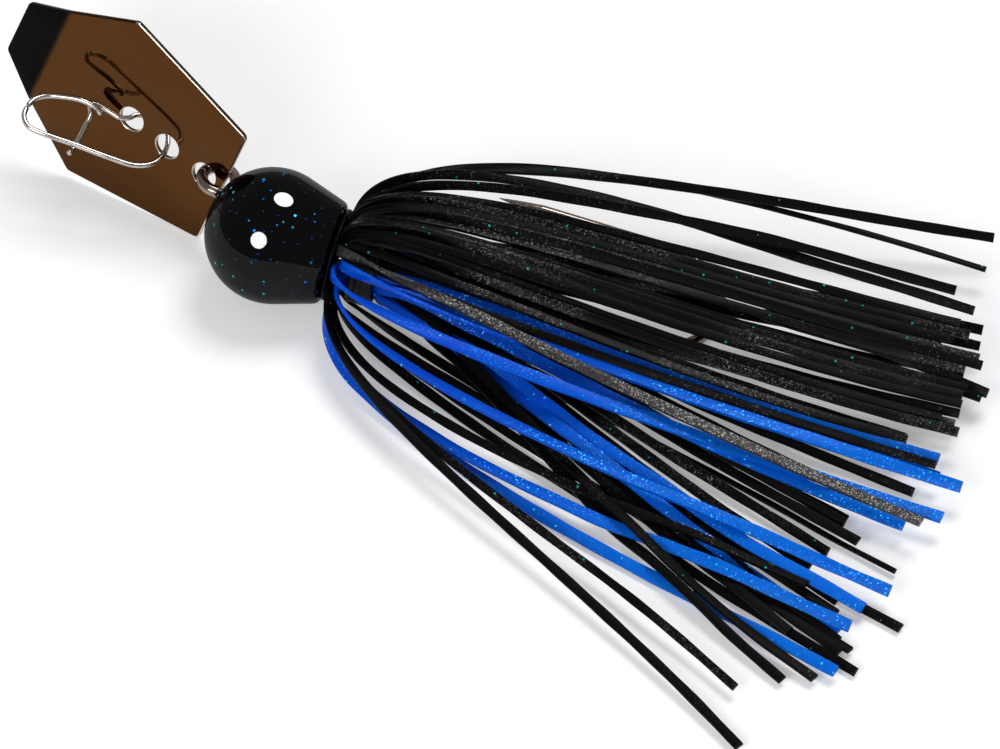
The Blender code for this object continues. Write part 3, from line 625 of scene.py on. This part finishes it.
def pushOffHeld(tails, held, space):
    # tails move off the parts of other strands that lie round the collar
    starts, ends = held[:, :-1].reshape(1, -1, 3), held[:, 1:].reshape(1, -1, 3)
    owner = np.repeat(np.arange(skirt["count"]), held.shape[1] - 1)
    moves = np.zeros_like(tails)
    near = 6
    for share in (0.0, 0.5):
        points = tails[:, :near] * (1 - share) + tails[:, 1:near + 1] * share
        offset = nearestOnRuns(points.reshape(-1, 1, 3), starts, ends)
        distance = np.linalg.norm(offset, axis=-1)
        mine = np.repeat(np.arange(len(tails)) // 2, near)
        distance[mine[:, None] == owner[None]] = space
        push = shortfall(offset, distance, space).sum(axis=1)
        push = push.reshape(len(tails), near, 3) * 0.5
        moves[:, :near] += push * (1 - share)
        moves[:, 1:near + 1] += push * share
    return np.clip(moves, -0.6, 0.6)


def pushOffHook(tails, hookLine):
    # tails keep off the hook's wire, at the stations and between them
    keep = (lure["hookWire"] + skirt["wide"]) / 2 + 0.15
    starts, ends = hookLine[:-1], hookLine[1:]
    moves = np.zeros_like(tails)
    for share in (0.0, 0.25, 0.5, 0.75):
        between = tails[:, :-1] * (1 - share) + tails[:, 1:] * share
        offset = nearestOnRuns(between.reshape(-1, 1, 3), starts[None], ends[None])
        distance = np.linalg.norm(offset, axis=-1)
        rows = np.arange(len(distance))
        nearest = distance.argmin(axis=1)
        offset, distance = offset[rows, nearest], distance[rows, nearest]
        push = shortfall(offset, distance, keep).reshape(between.shape)
        moves[:, :-1] += push * (1 - share)
        moves[:, 1:] += push * share
    return moves


def pushOffBody(tails):
    # tails keep off the stem, the outer ones outside the collar, all behind the head
    fromHead = tails - headCentre
    along = fromHead @ bodyAxis
    across = fromHead - along[..., None] * bodyAxis
    radius = np.linalg.norm(across, axis=-1)
    least = np.where(along < keeperEnd + 1, lure["keeperBarb"] + halfWide + 0.1, 0.0)
    isOuter = (np.arange(len(tails)) % 2 == 0)[:, None]
    overCollar = isOuter & (along > collarFront - 0.3) & (along < collarRear + 0.8)
    least = np.where(overCollar, collarOuter + lure["gap"] + halfWide, least)
    moves = shortfall(across, radius, least)
    front = lure["rearFace"] + lure["gap"] + halfWide
    ahead = np.clip(front - along, 0, None) * (radius < lure["headRadius"] + 3)
    return moves + ahead[..., None] * bodyAxis


def keepOut(tails):
    # tails are lifted over the clear space inside the hook's bend, and off the floor
    centre = bodyPoint(clearSpace["along"], clearSpace["side"])
    half = np.array([clearSpace["halfX"], clearSpace["halfY"]])
    low, high = centre[:2] - half, centre[:2] + half
    edge = halfWide + 0.15
    ahead = clearSpace["ahead"]
    inside = ((tails[..., 0] > low[0] - ahead) & (tails[..., 0] < high[0] + ahead)
              & (tails[..., 1] > low[1] - edge) & (tails[..., 1] < high[1] + edge)
              & (tails[..., 2] < clearSpace["top"] + edge))
    lifted = tails.copy()
    lifted[..., 2] = np.where(inside, clearSpace["top"] + edge, tails[..., 2])
    lifted[..., 2] = np.maximum(lifted[..., 2], halfWide + 0.05)
    return lifted


def bowed(tails):
    curve = np.zeros_like(tails)
    curve[:, 1:-1] = (tails[:, 2:] + tails[:, :-2]) / 2 - tails[:, 1:-1]
    return curve


def settledTails(hookLine):
    # laid out as listed, then eased apart until each tail has its own room
    design = firstTails()
    held = np.array([heldPath(index) for index in range(skirt["count"])])
    tails = design.copy()
    for turn in range(skirt["rounds"]):
        ease = skirt["ease"] * max(0.0, 1 - 1.25 * turn / skirt["rounds"])
        moves = ease * (design - tails)
        moves += skirt["bowHold"] * ease * (bowed(tails) - bowed(design))
        moves += pushApart(tails, skirt["space"] + 0.06)
        moves += pushOffHeld(tails, held, skirt["space"])
        moves += pushOffHook(tails, hookLine) + pushOffBody(tails)
        moves[:, 0] = 0
        tails = keepOut(tails + moves)
        tails[:, 0] = design[:, 0]
    return tails


def finerPaths(paths, finer):
    # the same curve on all strands at once: strands x stations x 3
    ends = np.concatenate([2 * paths[:, :1] - paths[:, 1:2], paths,
                           2 * paths[:, -1:] - paths[:, -2:-1]], axis=1)
    a, b, c, d = (ends[:, i:ends.shape[1] - 3 + i, None] for i in range(4))
    t = (np.arange(finer) / finer)[None, None, :, None]
    fine = throughPoints(a, b, c, d, t)
    return np.concatenate([fine.reshape(len(paths), -1, 3), paths[:, -1:]], axis=1)


def carriedNormals(tangents, first, middle):
    # normals carried both ways from the middle station with the least twist
    normals = np.zeros_like(tangents)
    normals[:, middle] = first
    count = tangents.shape[1]
    for step, span in ((1, range(middle, count)), (-1, range(middle, -1, -1))):
        for station in span:
            source = normals[:, station - step] if station != middle else first
            tangent = tangents[:, station]
            normal = source - tangent * (source * tangent).sum(-1, keepdims=True)
            normals[:, station] = normal / np.linalg.norm(normal, axis=-1, keepdims=True)
    return normals


# Further thin ribbons that lie between two tails: the two tails, how far from the first to
# the second, the share of their length, and how far they lie above them.
fillRows = (
    (6, 8, 0.72, 0.99, 0.1), (8, 10, 0.35, 0.97, -0.2), (8, 10, 0.72, 1.0, -0.3),
    (10, 12, 0.28, 0.98, -0.2), (10, 12, 0.55, 1.0, -0.4), (10, 12, 0.8, 0.95, -0.2),
    (12, 14, 0.3, 1.0, -0.3), (12, 14, 0.65, 0.97, -0.2), (14, 16, 0.35, 0.93, -0.4),
    (14, 18, 0.6, 0.96, -0.5), (3, 46, 0.5, 0.97, -0.3), (9, 13, 0.5, 1.0, -0.3),
    (13, 15, 0.5, 0.96, 0.0), (24, 26, 0.35, 0.93, 0.0), (22, 26, 0.55, 0.9, -0.5),
    (30, 32, 0.5, 0.97, 0.3), (33, 37, 0.5, 1.0, 0.3), (41, 43, 0.5, 0.97, 0.3))
sparklingStrands = (5, 7, 8, 20, 24)                      # numbered from 1, as their pieces are
sparklingFills = (3, 4, 6, 9, 14)


ribbon = {"settleFrom": 3, "settleOver": 9, "swingOver": 17, "widen": 0.12, "corner": 0.08,
          "ripple": (0.04, 0.9), "drift": (0.03, 0.37)}


def ribbonShape(path, middle, first, width, twist, phase):
    # a flat section with rounded edges carried along the path; it starts with its first
    # normal at the collar, turns to lie flat, and widens and narrows a little on the way
    tangents = directions(path[None])
    normals = carriedNormals(tangents, first[None], middle)[0]
    tangents = tangents[0]
    across = np.cross(tangents, normals)
    length = lengthAlong(path)
    away = length - length[middle]
    face = np.array(skirt["face"])
    lying = np.arctan2(across @ face, normals @ face)      # turn that would face it outwards
    lying = np.unwrap(lying)
    lying -= np.round(lying[middle] / np.pi) * np.pi
    settled = 1 - np.exp(-np.clip(np.abs(away) - ribbon["settleFrom"], 0, None)
                         / ribbon["settleOver"])
    swing = np.where(away < 0, twist[0], twist[1]) * settled
    angle = lying * settled + swing * np.sin(np.abs(away) / ribbon["swingOver"] + phase)
    turned = np.cos(angle)[:, None] * normals + np.sin(angle)[:, None] * across
    across = np.cross(tangents, turned)
    (ripple, often), (drift, seldom) = ribbon["ripple"], ribbon["drift"]
    spread = 1 + ripple * np.sin(length * often + phase) + drift * np.sin(length * seldom)
    widen = 1 + ribbon["widen"] * settled
    thick = skirt["thick"] / 2
    section = roundedCorners([(thick, width / 2), (-thick, width / 2),
                              (-thick, -width / 2), (thick, -width / 2)], ribbon["corner"], 2)
    scale = (spread * widen)[:, None, None]
    points = (path[:, None] + section[None, :, :1] * turned[:, None]
              + section[None, :, 1:] * scale * across[:, None])
    around = np.cumsum(np.linalg.norm(np.diff(section, axis=0, append=section[:1]), axis=1))
    rows, corners = points.shape[:2]
    strip = np.stack([np.broadcast_to(around, (rows, corners)),
                      np.broadcast_to(np.abs(away)[:, None], (rows, corners))], axis=-1)
    return (points.reshape(-1, 3), gridFaces(rows, corners), ringCaps(rows, corners),
            strip.reshape(-1, 2))


def buildSkirt(finishes, hookLine):
    tails = settledTails(hookLine)
    random = np.random.default_rng(7)
    paths, outward = [], []
    for index in range(skirt["count"]):
        held = heldPath(index)
        paths.append(np.vstack([tails[2 * index + 1][::-1], held[1:-1], tails[2 * index]]))
        outward.append(unit(held[1] - bodyPoint(collarFront)))
    middle = skirt["stations"] * skirt["finer"]
    fine = finerPaths(np.array(paths), skirt["finer"])
    for index, (colour, size, _, _) in enumerate(skirtRows):
        width = skirt["look"][colour] if size == "wide" else skirt["thin"]
        twist = random.uniform(-0.55, 0.55, 2)
        points, quads, caps, strip = ribbonShape(fine[index], middle, outward[index], width,
                                                 twist, index * 1.7)
        look = "sparkle" if index + 1 in sparklingStrands else colour
        addPiece(f"strandRibbon{index + 1:02d}", points, quads, caps, finishes[look],
                 "lure_body", f"skirt_strand_{index + 1:02d}", strip, 50)
    toTip = np.linspace(0, 1, skirt["stations"])[:, None] ** 1.5
    for index, (first, second, share, reach, lift) in enumerate(fillRows):
        # it draws in beside the nearer tail on its way out
        beside = skirt["drawIn"] if share <= 0.5 else 1 - skirt["drawIn"]
        across = share + (beside - share) * toTip
        path = tails[first] * (1 - across) + tails[second] * across
        path = path[0] + (path - path[0]) * np.linspace(1, reach, len(path))[:, None]
        path[:, 2] += lift * np.sin(np.linspace(0, np.pi, len(path)))
        path = finerPaths(path[None], skirt["finer"])[0]
        start = unit(path[0] - bodyPoint(collarFront))
        points, quads, caps, strip = ribbonShape(path, 0, start, skirt["fill"],
                                                 random.uniform(-0.6, 0.6, 2), index * 2.3)
        look = "sparkle" if index + 1 in sparklingFills else "black"
        addPiece(f"fillRibbon{index + 1:02d}", points, quads, caps, finishes[look],
                 "lure_body", None, strip, 50)


root = {"radius": 4.55, "clear": 0.06, "bore": 0.4}


def buildRoot(finish):
    # the bunched rubber between the head's rear face and the folded strands: a washer with
    # a half-round rim
    front = lure["rearFace"] + root["clear"]
    rear = collarFront - turnReach - skirt["thick"] / 2 - root["clear"]
    turns = np.radians(np.linspace(-90, 90, 9))
    half = (rear - front) / 2
    rim = np.stack([front + half + half * np.sin(turns), root["radius"] + half * np.cos(turns)],
                   axis=1)
    inside = lure["barrel"] + root["bore"]
    addTurned("skirtRoot", np.vstack([rim, (rear, inside), (front, inside)]), finish,
              "lure_body", None, 72, closed=True)


collar = {"groove": 0.07, "ribs": 4, "roundFrom": 0.82, "round": 7.5}


def buildCollar(finish):
    # a soft band with ribs round it and edges that fall away
    t = np.linspace(0, 1, 60)
    groove = collar["groove"] * (np.cos(t * math.pi * 2 * collar["ribs"]) * 0.5 + 0.5)
    fall = np.clip(np.abs(t - 0.5) * 2 - collar["roundFrom"], 0, 1) ** 2 * collar["round"]
    outer = collarOuter - groove - fall
    skin = np.stack([collarFront + t * skirt["collarLength"], outer], axis=1)
    bore = [(collarRear, collarInner), (collarFront, collarInner)]
    addTurned("collarBand", np.vstack([skin, bore]), finish, "lure_body", "skirt_collar",
              72, closed=True)


# the blade
blade = {"thick": 0.55, "tipHalf": 3.5, "shoulderHalf": 11.15, "rearHalf": 7.55,
         "shoulder": 11.5, "length": 27.0, "bend": 4.6, "bendAngle": 8.0, "bendZone": 1.2,
         "corner": 0.7, "drop": 0.4, "hole": 1.35, "pitches": (4.6, 4.8), "rearEdge": 2.3,
         "heading": (-10.7, 16.2, -36.2), "edgeRound": 0.15}
bladeTurn = Euler([math.radians(angle) for angle in blade["heading"]], "XYZ").to_matrix()
bladeAlong = np.array(bladeTurn @ Vector((1, 0, 0)))
bladeWidth = np.array(bladeTurn @ Vector((0, 0, 1)))
bladeFront = np.array(bladeTurn @ Vector((0, -1, 0)))
thirdHole = blade["length"] - blade["rearEdge"]
holePlaces = (thirdHole - sum(blade["pitches"]), thirdHole - blade["pitches"][1], thirdHole)
ringToHole = unit(upAxis * (bladeAlong @ upAxis) - bladeAlong)
bladeTip = (eyeCentre + lure["eyeRadius"] * ringToHole - thirdHole * bladeAlong
            - np.array([0.0, 0.0, blade["drop"]]))


def bladePoint(along, width=0.0, front=0.0):
    return bladeTip + along * bladeAlong + width * bladeWidth + front * bladeFront


def bladeSpline(curve, outline):
    spline = curve.splines.new("POLY")
    spline.points.add(len(outline) - 1)
    flat = np.column_stack([outline, np.zeros(len(outline)), np.ones(len(outline))])
    spline.points.foreach_set("co", flat.astype(np.float32).ravel())
    spline.use_cyclic_u = True


def buildBlade(plate, edgePaintedShade, bevelPaintedHighlight):
    # the outline and holes are filled flat, given thickness and a rounded edge, then the
    # tip is rolled back round its bend line
    curve = bpy.data.curves.new("bladeShape", "CURVE")
    curve.dimensions, curve.fill_mode = "2D", "BOTH"
    curve.bevel_depth, curve.bevel_resolution = blade["edgeRound"], 3
    curve.extrude = blade["thick"] / 2 - blade["edgeRound"]
    curve.offset = -blade["edgeRound"]
    corners = [(0, -blade["tipHalf"]), (blade["shoulder"], -blade["shoulderHalf"]),
               (blade["length"], -blade["rearHalf"]), (blade["length"], blade["rearHalf"]),
               (blade["shoulder"], blade["shoulderHalf"]), (0, blade["tipHalf"])]
    bladeSpline(curve, roundedCorners(corners, blade["corner"], 8))
    turns = np.linspace(0, 2 * np.pi, 64, endpoint=False)
    for hole in holePlaces:
        bladeSpline(curve, np.stack([hole + blade["hole"] * np.cos(turns),
                                     blade["hole"] * np.sin(turns)], axis=1))
    holder = bpy.data.objects.new("bladeShape", curve)
    bpy.context.scene.collection.objects.link(holder)
    bpy.context.view_layer.update()
    mesh = bpy.data.meshes.new_from_object(holder.evaluated_get(
        bpy.context.evaluated_depsgraph_get()))
    bpy.data.objects.remove(holder)
    shape = bmesh.new()
    shape.from_mesh(mesh)
    bmesh.ops.remove_doubles(shape, verts=shape.verts, dist=1e-4)
    start = blade["bend"] + blade["bendZone"] / 2
    for cut in np.linspace(start - blade["bendZone"], start, 9):
        everything = shape.verts[:] + shape.edges[:] + shape.faces[:]
        bmesh.ops.bisect_plane(shape, geom=everything, dist=1e-5, plane_co=(cut, 0, 0),
                               plane_no=(1, 0, 0))
    shape.to_mesh(mesh)
    shape.free()
    flat = np.empty(len(mesh.vertices) * 3, dtype=np.float32)
    mesh.vertices.foreach_get("co", flat)
    flat = flat.reshape(-1, 3).astype(float)
    along, width, back = flat[:, 0], flat[:, 1], -flat[:, 2]
    full = math.radians(blade["bendAngle"])
    radius = blade["bendZone"] / full
    turned = np.clip((start - along) / radius, 0, full)
    rest = np.clip(start - along - turned * radius, 0, None)
    offset = radius - back
    bent = along < start
    newAlong = np.where(bent, start - offset * np.sin(turned) - rest * np.cos(turned), along)
    newBack = np.where(bent, radius - offset * np.cos(turned) + rest * np.sin(turned), back)
    points = (bladeTip + newAlong[:, None] * bladeAlong + width[:, None] * bladeWidth
              - newBack[:, None] * bladeFront)
    mesh.vertices.foreach_set("co", (points * mm + place).astype(np.float32).ravel())
    mesh.materials.clear()
    finishPiece("bladePlate", mesh, plate, "blade", "blade", 25)
    mesh.materials.append(edgePaintedShade.material)
    mesh.materials.append(bevelPaintedHighlight.material)
    faces = np.empty((2, len(mesh.polygons) * 3), dtype=np.float32)
    mesh.polygons.foreach_get("normal", faces[0])
    mesh.polygons.foreach_get("center", faces[1])
    facing = faces[0].reshape(-1, 3).astype(float) @ bladeFront
    along = (faces[1].reshape(-1, 3) - place) @ bladeAlong / mm - bladeTip @ bladeAlong
    # the bevel on the front, from the shoulders to the rear, takes the bright rim metal as a
    # painted highlight; the rest of the rim takes the dark rim metal as painted shade
    paintedHighlight = (facing > 0.15) & (along > blade["shoulder"] - 0.4)
    index = np.where(np.abs(facing) > 0.9, 0, np.where(paintedHighlight, 2, 1))
    mesh.polygons.foreach_set("material_index", index.astype(np.int32))


# the snap
snap = {"wire": 0.55, "tilt": 17.5, "spacing": 0.12}
snapStep = snap["wire"] + lure["gap"]
loopEnd = (11.0, 6.4)
# forward along the blade from between its first holes, out of its face, and sideways
spineArm = (
    (4.55, 7.45, -0.05), (4.62, 7.25, -0.6), (4.72, 6.5, -snapStep), (4.95, 5.3, -0.6),
    (5.3, 3.9, -0.1), (5.75, 2.6, 0), (6.45, 1.75, 0), (6.0, 1.3, 0), (4.6, 1.05, 0),
    (3.4, 0.9, 0), (2.65, 0.3, 0), (2.2, -0.6, 0), (1.2, -1.2, 0), (0, -1.35, 0),
    (-1.2, -1.1, 0), (-2.05, -0.25, 0), (-2.55, 1.0, 0), (-2.45, 2.7, 0), (-1.2, 4.2, 0),
    (1.2, 5.25, 0), (4.7, 6.5, 0), (7.9, 7.75, 0), (9.4, 8.1, 0), (10.5, 7.5, 0),
    (*loopEnd, 0))
lineArm = (
    (11.0, 6.4 - lure["gap"], 0), (10.95, 5.2, 0), (10.2, 4.0, 0.1), (8.7, 3.1, 0.5),
    (7.3, 2.5, snapStep), (6.0, 2.15, snapStep), (5.2, 2.05, 0.6), (4.95, 2.05, 0.1))
lean = math.radians(snap["tilt"])
snapOut = math.cos(lean) * bladeFront - math.sin(lean) * bladeWidth
snapSide = np.cross(-bladeAlong, snapOut)
snapOrigin = bladePoint((holePlaces[0] + holePlaces[1]) / 2)


def snapPath(places):
    places = np.array(places, float)
    return smoothPath(snapOrigin - places[:, :1] * bladeAlong + places[:, 1:2] * snapOut
                      + places[:, 2:] * snapSide, snap["spacing"])


def buildSnap(finish):
    radius = snap["wire"] / 2
    # the arm's wire starts at the hinge itself, so the loop looks closed at any opening
    spine, arm = snapPath(spineArm), snapPath(((*loopEnd, 0),) + lineArm[1:])
    addWire("snapSpine", spine, roundedEnds(spine, radius), snapSide, finish, "snap",
            "snap_wire", 16)
    addWire("snapLineArm", arm, roundedEnds(arm, radius), snapSide, finish, "line_arm",
            "snap_line_arm", 16)


# floor, light and camera
studio = {"distance": 3.0, "viewWidth": 0.1, "tilt": 45.0, "aim": (22.8, -17.83, 5.0),
          "floor": 4.0, "world": 0.30, "floorLift": 0.30, "lampReach": 0.8, "lampSize": 0.38,
          "shine": 26.0, "shineAhead": 0.02}
lamps = {"topLamp": ((0.267, 0.333, 0.905), 3.1), "frontLamp": ((-0.397, -0.742, 0.543), 2.8)}
headSpot = place + headCentre * mm


def buildFloor():
    size, under = studio["floor"], -5e-5
    mesh = bpy.data.meshes.new("floor")
    mesh.from_pydata([(-size, -size, under), (size, -size, under), (size, size, under),
                      (-size, size, under)], [], [(0, 1, 2, 3)])
    floor = bpy.data.objects.new("floor", mesh)
    bpy.context.scene.collection.objects.link(floor)
    make = Finish("floorPale")
    mesh.materials.append(make.material)
    seen = make.node("ShaderNodeLightPath", out="Is Camera Ray")
    gloss = make.node("ShaderNodeLightPath", out="Is Glossy Ray")
    through = make.node("ShaderNodeLightPath", out="Is Transmission Ray")
    lift = seen.maths("MAXIMUM", seen.maths("MAXIMUM", seen, gloss), through)
    lifted = make.mix(lift, (0.0, 0.0, 0.0), (studio["floorLift"],) * 3)
    make.set(colour=(0.82, 0.82, 0.82), roughness=0.9, specular=0.0, glow=lifted,
             glowStrength=1.0)


def buildWorld():
    # white where the camera looks past the floor, and a plain level of light elsewhere
    world = bpy.data.worlds.new("studio")
    bpy.context.scene.world = world
    world.use_nodes = True
    make = Graph(world.node_tree)
    seen = make.node("ShaderNodeLightPath", out="Is Camera Ray")
    ground = make.tree.nodes["Background"]
    make.join(ground.inputs["Color"], (1.0, 1.0, 1.0))
    make.join(ground.inputs["Strength"], seen * (1 - studio["world"]) + studio["world"])


def addLamp(name, towards, reach, power):
    # a round lamp that looks at the head from the given side
    lamp = bpy.data.lights.new(name, "AREA")
    lamp.shape, lamp.size, lamp.energy = "DISK", studio["lampSize"], power
    holder = bpy.data.objects.new(name, lamp)
    bpy.context.scene.collection.objects.link(holder)
    holder.location = headSpot + np.array(towards) * reach
    holder.rotation_euler = Vector(towards).to_track_quat("Z", "Y").to_euler()
    return holder


def addShine(name, towards, pieces):
    # a soft box just before a lamp, seen only in the gloss of the given pieces
    box = addLamp(name, towards, studio["lampReach"] - studio["shineAhead"], studio["shine"])
    box.visible_diffuse = False
    group = bpy.data.collections.new(name)
    for piece in pieces:
        group.objects.link(piece)
    box.light_linking.receiver_collection = group


def buildCamera():
    tilt = math.radians(studio["tilt"])
    aim = place + np.array(studio["aim"]) * mm
    camera = bpy.data.cameras.new("camera")
    camera.lens = camera.sensor_width * studio["distance"] / studio["viewWidth"]
    holder = bpy.data.objects.new("camera", camera)
    bpy.context.scene.collection.objects.link(holder)
    back = np.array([0.0, -math.cos(tilt), math.sin(tilt)])
    holder.location = aim + back * studio["distance"]
    holder.rotation_euler = (math.radians(90) - tilt, 0, 0)
    bpy.context.scene.camera = holder


buildCamera()
buildFloor()
buildWorld()
for name, (towards, power) in lamps.items():
    addLamp(name, towards, studio["lampReach"], power)
print("camera and light ready")

bladeMetal = bladeFinish(blade["bend"])
# the rim metal in a dark copy for painted shade and a bright copy for a painted highlight on the
# front bevel
bladeRimPaintedShade = edgeFinish("bladeEdgePaintedShade", (0.020, 0.013, 0.009), (0.060, 0.042, 0.030))
bladeBevelPaintedHighlight = edgeFinish("bladeBevelPaintedHighlight", (0.60, 0.50, 0.40), (0.85, 0.76, 0.66))
hookMetal = wireFinish("hookPlate", (0.16, 0.125, 0.105), (0.40, 0.33, 0.29), 0.16)
snapMetal = wireFinish("snapWire", (0.34, 0.30, 0.275), (0.66, 0.62, 0.58), 0.14)
headPaint, collarRubber = headFinish(), rubberFinish()
blackBody = ((0.0010, 0.0010, 0.0011), (0.0036, 0.0034, 0.0034))
teal = ((0.0, 0.10, 0.14), (0.01, 0.42, 0.42))
silver = ((0.012, 0.011, 0.010), (0.085, 0.076, 0.072))
strandLooks = {
    "black": {"body": blackBody, "flake": teal, "flakes": 0.02, "glint": silver, "glints": 0.06,
              "stretch": (0.5, 0.65), "rough": 0.42, "specular": 0.06},
    "sparkle": {"body": blackBody, "flake": teal, "flakes": 0.05, "glint": silver,
                "glints": 0.32, "stretch": (0.45, 0.62), "rough": 0.34, "specular": 0.08},
    "blue": {"body": ((0.0, 0.062, 0.60), (0.0, 0.15, 0.72)), "flakes": 0.09,
             "flake": ((0.0, 0.30, 0.85), (0.10, 0.72, 0.92)), "glints": 0.14,
             "glint": ((0.0, 0.12, 0.75), (0.05, 0.35, 0.95)), "stretch": (0.35, 0.6),
             "rough": 0.34, "specular": 0.10},
    "grey": {"body": ((0.008, 0.008, 0.009), (0.052, 0.049, 0.050)), "flakes": 0.08,
             "flake": ((0.10, 0.12, 0.12), (0.40, 0.55, 0.55)), "glints": 0.6,
             "glint": ((0.03, 0.028, 0.027), (0.20, 0.19, 0.18)), "stretch": (0.3, 0.55),
             "rough": 0.3, "specular": 0.12}}
strandFinishes = {colour: strandFinish("strand" + colour.capitalize(), look)
                  for colour, look in strandLooks.items()}
print("finishes ready")

plan = hookPlan()
buildHook(plan, hookMetal)
headPieces = buildHead(headPaint)
for name, (towards, _) in lamps.items():
    addShine(name + "Shine", towards, headPieces)
buildCollar(collarRubber)
buildRoot(strandFinishes["black"])
print("hook, head and collar built")
hookLine = headCentre + plan[:, :1] * bodyAxis + plan[:, 1:] * sideAxis
buildSkirt(strandFinishes, hookLine)
print("skirt built")
buildBlade(bladeMetal, bladeRimPaintedShade, bladeBevelPaintedHighlight)
buildSnap(snapMetal)
print("blade and snap built")

bpy.context.scene.view_settings.view_transform = "Standard"
